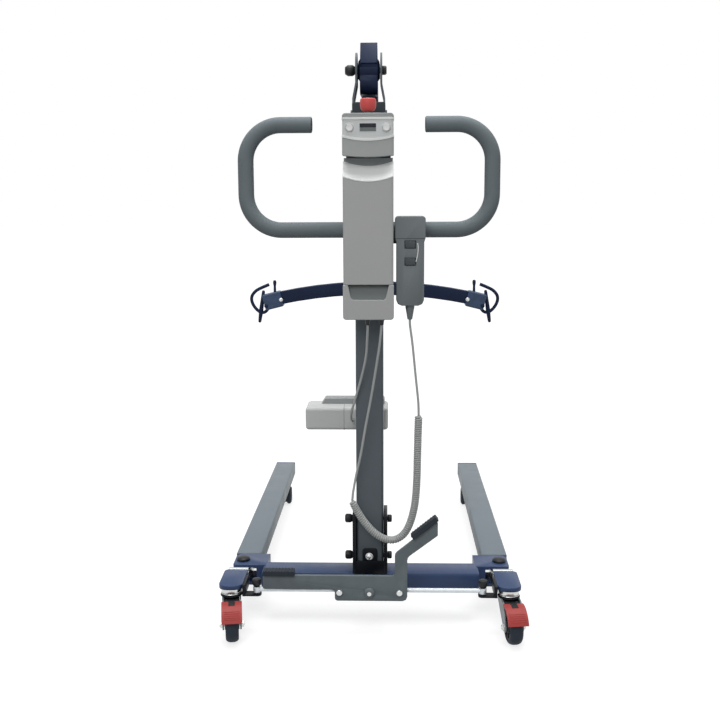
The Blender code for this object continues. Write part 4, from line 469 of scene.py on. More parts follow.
def smooth_route(points: Sequence[Point], spacing: float) -> list[Vector]:
    """Give evenly spaced points along a Catmull-Rom curve through given points."""
    knots = [Vector(point) for point in points]
    knots = [2 * knots[0] - knots[1]] + knots + [2 * knots[-1] - knots[-2]]
    dense: list[Vector] = []
    for a, b, c, d in zip(knots, knots[1:], knots[2:], knots[3:]):
        for i in range(24):
            t = i / 24
            dense.append(0.5 * (2 * b + (c - a) * t + (2 * a - 5 * b + 4 * c - d) * t ** 2
                                + (3 * b - a - 3 * c + d) * t ** 3))
    dense.append(knots[-2])
    lengths = [0.0]
    for a, b in zip(dense, dense[1:]):
        lengths.append(lengths[-1] + (b - a).length)
    count = max(2, round(lengths[-1] / spacing))
    spaced: list[Vector] = []
    place = 0
    for i in range(count + 1):
        target = lengths[-1] * i / count
        while place < len(dense) - 2 and lengths[place + 1] < target:
            place += 1
        span = lengths[place + 1] - lengths[place]
        spaced.append(dense[place].lerp(dense[place + 1], (target - lengths[place]) / span if span else 0.0))
    return spaced


def path_length(points: Sequence[Vector]) -> float:
    """Measure a polyline."""
    return sum((b - a).length for a, b in zip(points, points[1:]))


@dataclass
class Studio:
    """Floor, lights and the camera at the photograph's viewing angle."""

    focal_px: float = 983.0
    picture_px: float = 720.0
    camera_at: tuple[float, float, float] = (0.0453, -2.5034, 0.9316)
    pitch: float = 8.986
    yaw: float = 1.792
    roll: float = -0.263

    def build(self) -> None:
        """Make the camera, the floor, the lamps and the world."""
        self.camera()
        self.floor()
        self.lamp("overhead", (0.1, -0.1, 3.6), (0, 0.2, 0.5), 3.0, 92.0)
        self.lamp("behind_camera", (-0.7, -3.6, 2.9), (0, -0.3, 0.7), 2.4, 44.0)
        self.world()
        bpy.context.scene.view_settings.view_transform = "Standard"

    def camera(self) -> None:
        """Place the camera, with a lens that gives the photograph's perspective."""
        data = bpy.data.cameras.new("photo_view")
        data.sensor_width = 36.0
        data.lens = self.focal_px / self.picture_px * data.sensor_width
        camera = stand("photo_view", data)
        turn = Matrix.Rotation(math.radians(self.yaw), 4, "Z")
        turn @= Matrix.Rotation(math.radians(90.0 - self.pitch), 4, "X")
        turn @= Matrix.Rotation(math.radians(self.roll), 4, "Z")
        camera.matrix_world = Matrix.Translation(self.camera_at) @ turn
        bpy.context.scene.camera = camera

    def floor(self) -> None:
        """Make the pale floor: white to the camera, with the lift's own soft shadow."""
        shape = bmesh.new()
        bmesh.ops.create_grid(shape, x_segments=1, y_segments=1, size=40.0)
        mesh = bpy.data.meshes.new("floor")
        shape.to_mesh(mesh)
        shape.free()
        floor = stand("floor", mesh)
        material = bpy.data.materials.new("pale_floor")
        material.use_nodes = True
        tree = material.node_tree
        tree.nodes.clear()
        dull = add_node(tree, "ShaderNodeBsdfDiffuse", {"Color": (0.28, 0.28, 0.28, 1.0)})
        pale = add_node(tree, "ShaderNodeBsdfDiffuse", {"Color": (0.42, 0.42, 0.42, 1.0)})
        place = add_node(tree, "ShaderNodeTexCoord").outputs["Object"]
        away = add_node(tree, "ShaderNodeVectorMath", {"operation": "LENGTH"}, {0: place}).outputs["Value"]
        level = add_node(tree, "ShaderNodeMapRange", {1: 0.9, 2: 4.0, 3: 0.74, 4: 0.92},
                         {0: away}).outputs[0]
        glow = add_node(tree, "ShaderNodeEmission", links={"Strength": level})
        seen = add_node(tree, "ShaderNodeAddShader", links={0: pale.outputs[0], 1: glow.outputs[0]})
        self.blend(tree, dull, seen, "ShaderNodeOutputMaterial")
        mesh.materials.append(material)

    def blend(self, tree: bpy.types.NodeTree, light: bpy.types.Node, seen: bpy.types.Node,
              output: str) -> None:
        """Show one shader to the camera, off gloss and through glass, and light the lift with the other."""
        rays = add_node(tree, "ShaderNodeLightPath")
        clear = add_node(tree, "ShaderNodeMath", {"operation": "MAXIMUM"},
                         {0: rays.outputs["Is Glossy Ray"], 1: rays.outputs["Is Transmission Ray"]})
        direct = add_node(tree, "ShaderNodeMath", {"operation": "MAXIMUM"},
                          {0: rays.outputs["Is Camera Ray"], 1: clear.outputs[0]})
        mix = add_node(tree, "ShaderNodeMixShader",
                       links={0: direct.outputs[0], 1: light.outputs[0], 2: seen.outputs[0]})
        add_node(tree, output, links={"Surface": mix.outputs[0]})

    def lamp(self, name: str, place: Point, target: Point, size: float, watts: float) -> None:
        """Add one large soft lamp that points at a target."""
        data = bpy.data.lights.new(name, "AREA")
        data.shape = "DISK"
        data.size = size
        data.energy = watts
        aim = (Vector(target) - Vector(place)).to_track_quat("-Z", "Y").to_matrix().to_4x4()
        stand(name, data).matrix_world = Matrix.Translation(place) @ aim

    def world(self) -> None:
        """Make the surroundings white to the camera and to gloss, and a soft grey as light."""
        world = bpy.data.worlds.new("studio")
        bpy.context.scene.world = world
        world.use_nodes = True
        tree = world.node_tree
        tree.nodes.clear()
        light = add_node(tree, "ShaderNodeBackground", {"Color": (1, 1, 1, 1), "Strength": 0.38})
        white = add_node(tree, "ShaderNodeBackground", {"Color": (1, 1, 1, 1), "Strength": 1.0})
        self.blend(tree, light, white, "ShaderNodeOutputWorld")


@dataclass
class Cords:
    radius: float = 0.0025
    coil_radius: float = 0.0061
    turns: int = 88
    per_turn: int = 12
    ramp: float = 0.8
    straight: float = 0.006
    upper: tuple[Point, ...] = (
        (0.086, -0.0905, 0.6937), (0.0863, -0.0905, 0.682), (0.092, -0.0895, 0.639), (0.0985, -0.087, 0.575),
        (0.1042, -0.084, 0.521), (0.1055, -0.082, 0.4987), (0.1055, -0.082, 0.4927))
    coil: tuple[Point, ...] = ((0.1055, -0.082, 0.4924), (0.1055, -0.082, 0.484), (0.1045, -0.079, 0.443),
                               (0.1035, -0.077, 0.392), (0.1028, -0.075, 0.351), (0.1008, -0.073, 0.311),
                               (0.0965, -0.071, 0.276), (0.087, -0.069, 0.241), (0.0735, -0.067, 0.217),
                               (0.054, -0.065, 0.2045), (0.032, -0.063, 0.206), (0.010, -0.061, 0.219),
                               (-0.0105, -0.060, 0.2415), (-0.0275, -0.060, 0.268), (-0.0375, -0.061, 0.290),
                               (-0.0375, -0.061, 0.296))
    lower: tuple[Point, ...] = ((-0.0375, -0.061, 0.2963), (-0.0375, -0.061, 0.302), (-0.029, -0.061, 0.350),
                                (-0.019, -0.063, 0.395), (-0.0075, -0.067, 0.462), (0.003, -0.072, 0.518),
                                (0.014, -0.080, 0.584), (0.0225, -0.0905, 0.640), (0.027, -0.097, 0.684),
                                (0.027, -0.097, 0.6957))
    lead: tuple[Point, ...] = (
        (-0.002, -0.097, 0.6957), (-0.002, -0.097, 0.685), (-0.003, -0.088, 0.660), (-0.007, -0.066, 0.610),
        (-0.018, -0.051, 0.560), (-0.031, -0.044, 0.515), (-0.040, -0.028, 0.480), (-0.041, 0.000, 0.458),
        (-0.040, 0.030, 0.450), (-0.040, 0.042, 0.450), (-0.040, 0.0477, 0.450))

    def helix(self, route: Sequence[Vector]) -> list[Vector]:
        """Wind the curly stretch around its route as one helix with straight ends."""
        count = self.turns * self.per_turn
        lead = self.straight / path_length(route)
        stops = [0.0, 0.5 * lead] + [lead + (1 - 2 * lead) * i / count for i in range(count + 1)]
        stops += [1 - 0.5 * lead, 1.0]
        last = len(route) - 1
        centres = []
        for stop in stops:
            place = min(int(stop * last), last - 1)
            centres.append(route[place].lerp(route[place + 1], stop * last - place))
        points: list[Vector] = []
        side = Vector((0, 1, 0))
        for i, centre in enumerate(centres):
            tangent = (centres[min(i + 1, len(centres) - 1)] - centres[max(i - 1, 0)]).normalized()
            side = (side - tangent * side.dot(tangent)).normalized()
            along = min(max((stops[i] - lead) / (1 - 2 * lead), 0.0), 1.0)
            turns = self.turns * along
            rise = max(0.0, min(1.0, turns / self.ramp, (self.turns - turns) / self.ramp))
            angle = math.tau * turns
            arm = side * math.cos(angle) + tangent.cross(side) * math.sin(angle)
            points.append(centre + arm * self.coil_radius * math.sin(rise * math.pi / 2))
        return points

    def build(self) -> None:
        """Make the three stretches of the pendant's cord and the actuator's lead."""
        routes = ((self.upper, 0.010), (self.coil, 0.002), (self.lower, 0.012), (self.lead, 0.010))
        upper, coil, lower, lead = (
            smooth_route([Vector((x, y + MAST_Y * MM, z)) for x, y, z in knots], spacing)
            for knots, spacing in routes)
        for name, points in (("upper", upper), ("coil", self.helix(coil)), ("lower", lower)):
            node = "pendant_cord_" + name
            piece = Shape(1.0).tube(points, self.radius).dress(
                node + "_sheath", CORD_PVC, "base", [node], smooth=50.0)
            LOG.info("%s stretch: %.2f m of cord", name, path_length(points))
        Shape(1.0).tube(lead, self.radius).dress(
            "actuator_lead_sheath", CORD_PVC, "base", ["actuator_lead"], smooth=50.0)


@dataclass
class ControlStack:
    """Control unit, battery and power unit on the backplate behind the mast."""

    rear: float = -120
    front: float = -75.8
    half: float = 52.6
    battery_half: float = 51.5
    flat_half: float = 44
    corner_back: float = 4.5
    control_bottom: float = 1026.6
    control_sag: float = 3.6
    control_top: float = 1113
    lip_centre: float = 1060
    lip_side: float = 1067.5
    lip_height: float = 4.5
    panel_top: float = 1100.3
    rim_top: float = 1104.3
    battery_bottom: float = 769
    shoulder: float = 976.8
    battery_top: float = 1009.8
    shoulder_run: float = 30
    rise: float = 10
    power_bottom: float = 696
    power_top: float = 768.5
    recess_floor: float = 738
    recess_floor_half: float = 35
    recess_top_half: float = 42.5
    recess_depth: float = 12.5
    gland_x: Pair = (27, -2)
    stop_y: float = -90
    button_x: float = 37
    button_z: float = 1084
    button_radius: float = 7
    display_half: float = 16.5
    display_low: float = 1076.8
    display_middle: float = 1083.6
    display_high: float = 1092.2

    def across(self, half: float, count: int = 12, steps: int = 5) -> list[float]:
        """Give the stations across a housing, closer together at its soft rear corners."""
        flat = self.flat_half
        corner = [flat + (half - flat) * math.sin(math.pi / 2 * i / steps) for i in range(1, steps + 1)]
        middle = [-flat + 2 * flat * i / count for i in range(count + 1)]
        return [-x for x in reversed(corner)] + middle + corner

    def face(self, x: float, half: float) -> float:
        """Give the housing's rear face at a place across it: flat, and drawn in at both corners."""
        beyond = max(0, abs(x) - self.flat_half) / (half - self.flat_half)
        return self.rear + self.corner_back * (1 - math.sqrt(max(0, 1 - beyond * beyond)))

    def slab(self, half: float, section: Callable[[float, float], Outline], proud: float = 0) -> Shape:
        """Give a housing whose section changes across it.

        Args:
            half: half of its width.
            section: gives the (y, z) outline for a place across from -1 to 1 and the rear face there.
            proud: how far its rear face stands out past the others.

        Returns:
            The closed housing.
        """
        return Shape().loft([[at(x, y, z) for y, z in section(x / half, self.face(x, half) - proud)]
                             for x in self.across(half)])

    def band(self, low: Callable[[float], float], high: Callable[[float], float], proud: float,
             half: float) -> Shape:
        """Give the part of a housing between two curves that run across it."""
        return self.slab(half, lambda t, y: ((y, low(t)), (self.front, low(t)), (self.front, high(t)),
                                             (y, high(t))), proud)

    def lip(self, t: float) -> float:
        """Give the height of the middle of the curved lip."""
        return self.lip_centre + (self.lip_side - self.lip_centre) * t * t

    def edge(self, t: float) -> float:
        """Give the height of the battery shoulder's lower edge."""
        return self.shoulder + self.rise * t * t

    def scoop(self, t: float, y: float) -> Outline:
        """Give the battery shoulder's section: flat on top, then scooped down to the rear face."""
        low, high, run = self.edge(t), self.battery_top + self.rise * t * t, self.rear + self.shoulder_run
        return ((y, low), (self.front, low), (self.front, high), (run + 3, high), (run, high - 0.4),
                (self.rear + 18, low + 0.56 * (high - low)), (self.rear + 9, low + 0.27 * (high - low)),
                (y, low + 2.2))

    def control(self) -> None:
        """Build the control unit: sagging front, lip, panel, rim, top, stop collar, display and keys."""
        half, thick = self.half, self.lip_height / 2
        self.band(lambda t: self.control_bottom + self.control_sag * t * t, self.lip, -0.6,
                  half - 0.4).dress("control_front", LOWER_ABS, replaces=["control_unit"], rounding=2)
        self.band(lambda t: self.lip(t) - thick, lambda t: self.lip(t) + thick, 0.8, half).dress(
            "control_lip", PALE_ABS_AND_HIGHLIGHT, rounding=1.4)
        self.band(self.lip, lambda t: self.panel_top, -1, half - 1).dress(
            "control_panel", PANEL_FOIL, rounding=1)
        # The rim is a real band; its pale grey is a painted highlight along the lower edge of the top.
        self.band(lambda t: self.panel_top - 0.4, lambda t: self.rim_top, 0.4, half).dress(
            "control_rim", PALE_ABS_AND_HIGHLIGHT, rounding=1.2)
        wide, low, high = half - 0.4, self.rim_top - 0.3, self.control_top
        outline = rounded([(-wide, low, 0), (wide, low, 0), (wide, high, 7), (-wide, high, 7)])
        Shape().plate(outline, self.rear + MAST_Y + 2, self.front + MAST_Y, Axis.Y).dress(
            "control_top", TRIM_ABS, rounding=3, segments=5)
        collar = [(0, -2), (12.8, -2), (12.4, 0.4), (8, 0.5), (7.8, 6.6), (7, 7), (0, 7)]
        Shape().turned(collar, at(0, self.stop_y, high)).dress("stop_collar", SHADE_ABS, rounding=0.4)
        self.display(self.rear + 1)
        self.keys(self.rear + 1)

    def keys(self, face: float) -> None:
        """Build the two round keys on the panel's face, each in its bezel."""
        radius = self.button_radius
        ring = radius + 0.5
        bezel = [(ring, -0.8), (ring, 2), (ring + 1, 2), (ring + 2.4, -0.8), (ring, -0.8)]
        key = [(0, 2.3), (radius - 0.2, 2.3), (radius, 2.7), (radius, 3.4), (radius * 0.93, 4.1),
               (radius * 0.6, 3.9), (0, 3.6)]
        for side, sign in SIDES:
            centre = at(sign * self.button_x, face, self.button_z)
            Shape().turned(bezel, centre, REARWARD).dress("button_bezel_" + side, PANEL_FOIL, rounding=0.2)
            Shape().turned(key, centre, REARWARD).dress("control_key_" + side, KEY_ABS,
                                                        "panel_button_" + side, ["control_button_" + side])

    def display(self, face: float) -> None:
        """Build the display: a raised frame, a black upper window and a grey lower one."""
        half, low, high, middle = self.display_half, self.display_low, self.display_high, self.display_middle
        rim, gap = 1, 0.2
        Shape().box(at(-half - rim, face - 0.4, low - rim), at(half + rim, face + 0.5, high + rim)).dress(
            "display_frame", PANEL_FOIL, rounding=0.3)
        Shape().box(at(-half, face - 0.8, middle + gap), at(half, face - 0.3, high)).dress(
            "display_window", DISPLAY, rounding=0.2)
        Shape().box(at(-half, face - 0.7, low), at(half, face - 0.3, middle - gap)).dress(
            "display_keys", SHADE_ABS, rounding=0.2)

    def battery(self) -> None:
        """Build the battery: a soft-cornered body under a scooped shoulder whose paler grey is a painted
        highlight, with a dark box behind painted as the shade under the control unit.
        """
        half, wide = self.battery_half, self.battery_half - 1.2
        self.band(lambda t: self.battery_bottom, lambda t: self.edge(t) - 0.4, 0, half).dress(
            "battery_body", CASE_ABS, "battery", ["battery_pack"], rounding=1.2)
        # The shoulder's paler grey is a painted highlight.
        self.slab(half, self.scoop, 0.3).dress("battery_shoulder", SHOULDER_HIGHLIGHT_ABS, "battery", rounding=0.6)
        # A dark box filling the gap up to the control unit: painted shade.
        Shape().box(at(-wide, self.rear + self.shoulder_run + 3.5, self.battery_top - 2),
                    at(wide, self.front - 0.4, self.control_bottom - 0.8)).dress(
            "battery_gap_painted_shade", RECESS_SHADE_ABS, "battery", rounding=1)

    def power(self) -> None:
        """Build the power unit: a front with the finger recess, its sloped floor and the core behind, whose
        darker grey is painted shade.
        """
        half, low, high, floor, back = (self.half, self.power_bottom, self.power_top, self.recess_floor,
                                        self.rear + MAST_Y)
        wide, narrow = self.recess_top_half, self.recess_floor_half
        corners = ((-half, low, 7), (half, low, 7), (half, high, 2), (wide, high, 0), (narrow, floor, 6),
                   (-narrow, floor, 6), (-wide, high, 0), (-half, high, 2))
        # In metres, because the 2 mm corners hold its bevel back, and its rear face stays whole this way.
        outline = rounded([(x * MM, z * MM, radius * MM) for x, z, radius in corners], 6)
        Shape(1.0).plate(outline, back * MM, (back + 15) * MM, Axis.Y).dress(
            "power_front", CASE_ABS, replaces=["power_unit"], rounding=2.2, smooth=50.0)
        slope = [(back + self.recess_depth, high - 0.8), (back + 2.5, floor + 0.6),
                 (back + 14, floor - 4), (back + 14, high - 0.8)]
        Shape().plate(slope, -wide - 0.5, wide + 0.5, Axis.X).dress("power_scoop", SHADE_ABS)
        # The core's darker grey, seen through the recess, is painted shade.
        Shape().box(at(-half + 1, self.rear + 14.8, low + 1),
                    at(half - 1, self.front, high - 0.8)).dress("power_core", RECESS_SHADE_ABS, rounding=2)
        gland = [(2.7, -13.5), (4.2, -13), (5.2, -4), (7.2, -2), (7.2, 2), (0, 2)]
        for i, x in enumerate(self.gland_x):
            Shape().turned(gland, at(x, -97, low)).dress(f"cord_gland_{i + 1}", BLACK_PLASTIC, rounding=0.3)

    def build(self) -> None:
        """Build the three housings."""
        self.control()
        self.battery()
        self.power()


@dataclass
class StopButton:
    """Red mushroom button on top of the control unit, hollow over its fixed collar."""

    radius: float = 16.5
    y: float = -90
    foot: float = 1113

    def build(self) -> None:
        """Turn the mushroom head and its stem."""
        r = self.radius
        profile = [(0, 15), (8.8, 15), (8.8, 5), (r * 0.62, 4.8), (r * 0.80, 7.2), (r * 0.93, 11), (r, 16.5),
                   (r, 26.2), (r * 0.96, 29), (r * 0.85, 30.6), (r * 0.5, 30.7), (0, 30)]
        Shape().turned(profile, at(0, self.y, self.foot), sides=64).dress(
            "stop_mushroom", STOP_RED, "stop_button", ["emergency_stop"], smooth=30.0)


@dataclass
class PushHandle:
    """Bent steel tube behind the mast, open at both ends, with dark end plugs."""

    radius: float = 16.5
    y: float = -52.5
    low: float = 879
    high: float = 1095
    side_x: float = 257
    bend: float = 74
    end_x: float = 118.5

    def build(self) -> None:
        """Sweep the tube round its bends and close its ends with plugs."""
        outer, bend = self.side_x - self.bend, self.bend
        half = [(self.end_x + (outer - self.end_x) * i / 4, self.high) for i in range(4)]
        half += arc((outer, self.high - bend), bend, 90, 0, 20)
        half += arc((outer, self.low + bend), bend, 0, -90, 20)
        half += [(outer * (1 - i / 8), self.low) for i in range(1, 9)]
        points = [at(x, self.y, z) for x, z in half] + [at(-x, self.y, z) for x, z in reversed(half[:-1])]
        Shape().tube(points, self.radius, 32).dress("push_handle_tube", HANDLE_COAT,
                                                    replaces=["push_handle"], smooth=50.0)
        plug = [(0, 0.4), (12.8, 0.4), (14.2, 1.2), (15, 0.6), (15, -4), (0, -4)]
        for side, sign in SIDES:
            turn = Matrix.Rotation(-sign * math.pi / 2, 4, "Y")
            Shape().turned(plug, at(sign * self.end_x, self.y, self.high), turn).dress(
                "handle_plug_" + side, BLACK_PLASTIC)


@dataclass
class SlingHook:
    """End block of the spreader with its horn, keeper prong and spike."""

    side: str
    sign: int
    block_at: Pair = (282, 668)
    tilt: float = 14.0
    length: float = 52
    height: float = 44
    depth: float = 19
    y: float = 600
    horn: tuple[Pair, ...] = ((293.5, 712), (302, 708.5), (316, 702.5), (331, 694), (341.5, 681), (343, 667),
                              (337, 652), (327, 640), (316, 633.5), (304, 636.5), (294, 650))
    bolts: tuple[Pair, ...] = ((258.5, 671.5), (300.5, 653.5))
    prong: tuple[Pair, ...] = ((309, 696), (322, 605))
    spike: Pair = (277.5, 678)

    def spot(self, place: Pair, ahead: float = 0) -> Vector:
        """Give the world point of an (x, z) place on this side's hook."""
        return at(self.sign * place[0], self.y + ahead, place[1])

    def build(self) -> None:
        """Build the block, the horn, the prong, the spike and the bolt heads."""
        corner = Vector((self.length / 2, self.depth, self.height / 2))
        tilt = Matrix.Rotation(math.radians(self.sign * self.tilt), 4, "Y")
        Shape().box(-corner, corner).move(Matrix.Translation(self.spot(self.block_at)) @ tilt).dress(
            "hook_block_" + self.side, BLOCK_COAT, "spreader", ["sling_hook_" + self.side], 4.2, 4)
        Shape().tube(smooth_route([self.spot(place) for place in self.horn], 3), 4.5, 16).dress(
            "hook_horn_" + self.side, NAVY_COAT, "spreader", smooth=50.0)
        top, low = map(self.spot, self.prong)
        length = (top - low).length
        keeper = [(0, 0), (2.6, 0.6), (4.3, 3), (5.2, 16), (6.2, 34), (5.6, 52),
                  (4.4, length - 4), (3, length - 0.8), (0, length)]
        Shape().turned(keeper, low, (top - low).to_track_quat("Z", "Y").to_matrix().to_4x4(), 24).dress(
            "hook_keeper_" + self.side, NAVY_COAT, "spreader")
        spike = [(0, 0), (4, 0), (3.6, 22), (3.4, 30), (4.6, 36), (5, 41), (3.4, 45.5), (0, 46.5)]
        Shape().turned(spike, self.spot(self.spike), sides=24).dress("hook_spike_" + self.side, NAVY_COAT,
                                                                     "spreader")
        head = [(0, 3), (3.4, 2.9), (5.2, 1.8), (5.6, 0), (0, 0)]
        for i, (place, finish) in enumerate(zip(self.bolts, (ZINC, NAVY_COAT))):
            for end, facing, ahead in (("rear", REARWARD, -self.depth), ("front", FORWARD, self.depth)):
                Shape().turned(head, self.spot(place, ahead), facing, 24).dress(
                    f"hook_bolt_{self.side}_{i + 1}_{end}", finish, "spreader")


@dataclass
class RearCaster:
    """Braked swivel caster under a heel, built along its own frame: trail along -Y, axle along X."""

    side: str
    sign: int
    yaw: float
    x: float = 303
    y: float = -95
    trail: float = 44
    wheel_radius: float = 37.5
    wheel_half: float = 15.5
    fork_inner: float = 17.2
    fork_plate: float = 3.5
    pivot_back: float = 20
    pivot_height: float = 80
    hood_inner: float = 45.5
    hood_shell: float = 4
    hood_half: float = 22
    hood_from: float = 24
    hood_to: float = 99
    hood_ribs: int = 5
    rib_from: float = 34
    rib_step: float = 5
    spokes: int = 6

    def build(self) -> None:
        """Build the caster."""
        self.fork()
        self.wheel()
        self.pedal()

    def dress(self, shape: Shape, name: str, finish: Finish, body: str, node: str = "",
              rounding: float = 0.0, smooth: float = 40.0) -> None:
        """Move a shape from the caster's frame to the world, and finish it as this side's piece."""
        turn = Matrix.Rotation(math.radians(self.yaw), 4, "Z")
        shape.move(Matrix.Translation(at(self.sign * self.x, self.y, 0)) @ turn, whole=True)
        shape.dress(name + self.side, finish, body + self.side, [node + self.side] if node else (), rounding,
                    smooth=smooth)

    def fork(self) -> None:
        """Build the crown, the bright race above it, the two cheeks and the axle."""
        body, wheel_z, outer = "rear_fork_", self.wheel_radius, self.fork_inner + self.fork_plate
        crown = Shape().turned([(0, 87), (21.5, 87), (23.8, 88.5), (24, 90.5), (22.5, 92.2),
                                (19, 93), (6, 93.5), (6, 102), (0, 102)])
        crown.box((-16.8, -12, 76.5), (16.8, 10, 86.8))
        self.dress(crown, "caster_crown_", BLACK_PAINT, body, "rear_caster_fork_")
        race = [(6.5, 93.8), (22.2, 93.3), (22.8, 94.5), (22.2, 95.6), (6.5, 95.6), (6.5, 93.8)]
        self.dress(Shape().turned(race), "caster_race_", ZINC, body)
        outline = [(13, 90), (-13, 90), (-31, 86.8), (-44.5, 70)]
        outline += arc((-self.trail, wheel_z), 11.5, 165, 350, 14) + [(16.5, 80)]
        cheeks = Shape()
        for low in (-outer, self.fork_inner):
            cheeks.plate(outline, low, low + self.fork_plate, Axis.X)
        self.dress(cheeks, "caster_cheeks_", FORK_ZINC, body, rounding=0.8)
        end, nut = outer + 6.2, 4.7
        axle = Shape().rod((-end, -self.trail, wheel_z), (end, -self.trail, wheel_z), 3.9, 20)
        for low in (-outer - 4.5, outer - 0.2):
            axle.rod((low, -self.trail, wheel_z), (low + nut, -self.trail, wheel_z), 7.4, 6)
        self.dress(axle, "caster_axle_", ZINC, body, rounding=0.5)

    def wheel(self) -> None:
        """Turn the tyre with its crowned tread and the spoked hub inside it."""
        radius, half = self.wheel_radius, self.wheel_half
        centre, body = (0, -self.trail, radius), "rear_wheel_"
        tyre = [(26.2, half - 3), (28.5, half - 1.4), (31.5, half - 1.6), (34.5, half - 3.8),
                (36.4, half - 7.4), (radius - 0.2, half - 11.2), (radius, 0)]
        tyre += [(r, -h) for r, h in reversed(tyre[:-1])]
        self.dress(Shape().turned(tyre + [tyre[0]], centre, Axis.X.turn(), 72), "caster_tyre_", TYRE_RUBBER,
                   body, "rear_caster_wheel_", smooth=35.0)
        hub = [(4.2, half + 0.2), (10.5, half + 0.2), (11.2, half - 3), (13, half - 5.5),
               (22.5, half - 5.5), (24, half - 2.6), (26.4, half - 2.8)]
        hub += [(r, -h) for r, h in reversed(hub)]
        shape = Shape().turned(hub + [hub[0]], centre, Axis.X.turn(), 72)
        for i in range(self.spokes):
            shape.box((-half + 3, -1.2, 10.8), (half - 3, 1.2, 24))
            shape.move(Matrix.Translation(centre) @ Matrix.Rotation(math.tau * i / self.spokes, 4, "X"))
        self.dress(shape, "caster_hub_", HUB_NYLON, body, smooth=35.0)

    def pedal(self) -> None:
        """Bend the red hood round the tyre, its angles in degrees from the rear, with its dark neck."""
        centre, inner = (-self.trail, self.wheel_radius), self.hood_inner
        outer, wide = inner + self.hood_shell, self.hood_half
        inside, body = self.fork_inner, "brake_pedal_"
        low, high = 180 - self.hood_from, 180 - self.hood_to
        hood = Shape().plate(arc(centre, outer, low, high, 24) + arc(centre, inner, high, low, 24), -wide,
                             wide, Axis.X)
        for step in range(self.hood_ribs):
            turn = math.radians(180 - self.rib_from - step * self.rib_step)
            y, z = centre[0] + outer * math.cos(turn), centre[1] + outer * math.sin(turn)
            hood.rod((-wide + 5, y, z), (wide - 5, y, z), 0.7, 8)
        self.dress(hood, "brake_hood_", RED_PLASTIC, body, "rear_brake_pedal_", 1.2)
        back, height = self.pivot_back, self.pivot_height
        tongue = arc(centre, outer + 0.9, 106, 80, 9) + arc(centre, inner - 0.4, 80, 106, 9)
        neck = Shape().plate(tongue, -7, 7, Axis.X)
        neck.box((-inside + 0.4, -34.5, 83.5), (inside - 0.4, -29, 86.6))
        neck.box((-9.5, -self.trail + 4, height + 2), (9.5, -back, height + 5.2))
        neck.rod((-15, -back, height), (15, -back, height), 5.2, 28)
        neck.rod((-inside - 3, -back, height), (inside + 3, -back, height), 2.4, 16)
        self.dress(neck, "brake_neck_", BLACK_PLASTIC, body, rounding=0.6)


@dataclass
class RockerPads:
    """Ribbed rubber foot pads on the two arms of the rocker pedal, and the bolts on its plate."""

    rocker_rear: float = -115
    thickness: float = 8
    length: float = 68
    pad_thickness: float = 12
    depth: float = 22
    left_end: float = -230
    arm_high: float = 140
    inner_tip: Pair = (147, 264.4)
    inner_bend: Pair = (55, 189.5)
    ribs: int = 9
    rib_half: float = 1.4
    link: Pair = (65, 103)
    pivot_height: float = 102.5

    def pad(self, side: str, frame: Matrix) -> None:
        """Build one pad lengthways along local X, with cross ribs on its top and wrapped edges."""
        length, deep, half = self.length, self.depth / 2, self.pad_thickness / 2
        shape = Shape().box((-length / 2, -deep, -half), (length / 2, deep, half - 1))
        for i in range(self.ribs):
            x = -length / 2 + 6 + (length - 12) * i / (self.ribs - 1)
            shape.box((x - self.rib_half, -deep - 0.2, -half + 2), (x + self.rib_half, deep + 0.2, half))
        shape.move(frame, whole=True)
        shape.dress("rocker_pad_" + side, PAD_RUBBER, "rocker", ["pedal_pad_" + side], rounding=1.1)

    def build(self) -> None:
        """Build both pads, the bolts of the tie rods and the pivot's washer and nut."""
        middle, half = self.rocker_rear + self.thickness / 2, self.pad_thickness / 2
        self.pad("left", Matrix.Translation(
            at(self.left_end + self.length / 2, middle, self.arm_high + half)))
        tip, bend = Vector(self.inner_tip), Vector(self.inner_bend)
        along = (tip - bend).normalized()
        centre = tip - along * (self.length / 2 - 2) + Vector((-along.y, along.x)) * (half + 0.3)
        tilt = Matrix.Rotation(-math.atan2(along.y, along.x), 4, "Y")
        self.pad("right", Matrix.Translation(at(centre.x, middle, centre.y)) @ tilt)
        bolt = [(0, 6.8), (3.8, 6.6), (6.2, 5.2), (6.4, 0), (0, 0)]
        for side, sign in SIDES:
            Shape().turned(bolt, at(sign * self.link[0], self.rocker_rear, self.link[1]), REARWARD,
                           32).dress("link_bolt_" + side, ZINC, "rocker")
        pivot = at(0, self.rocker_rear, self.pivot_height)
        washer = [(0, 6.2), (9, 6), (11.2, 4), (11.6, 0.3), (0, 0.3)]
        Shape().turned(washer, pivot, REARWARD).dress("rocker_pivot_washer", ROCKER_COAT)
        Shape().rod(pivot + Vector((0, -5.6, 0)), pivot + Vector((0, -10, 0)), 5.2, 6).dress(
            "rocker_pivot_nut", ZINC, rounding=0.6)


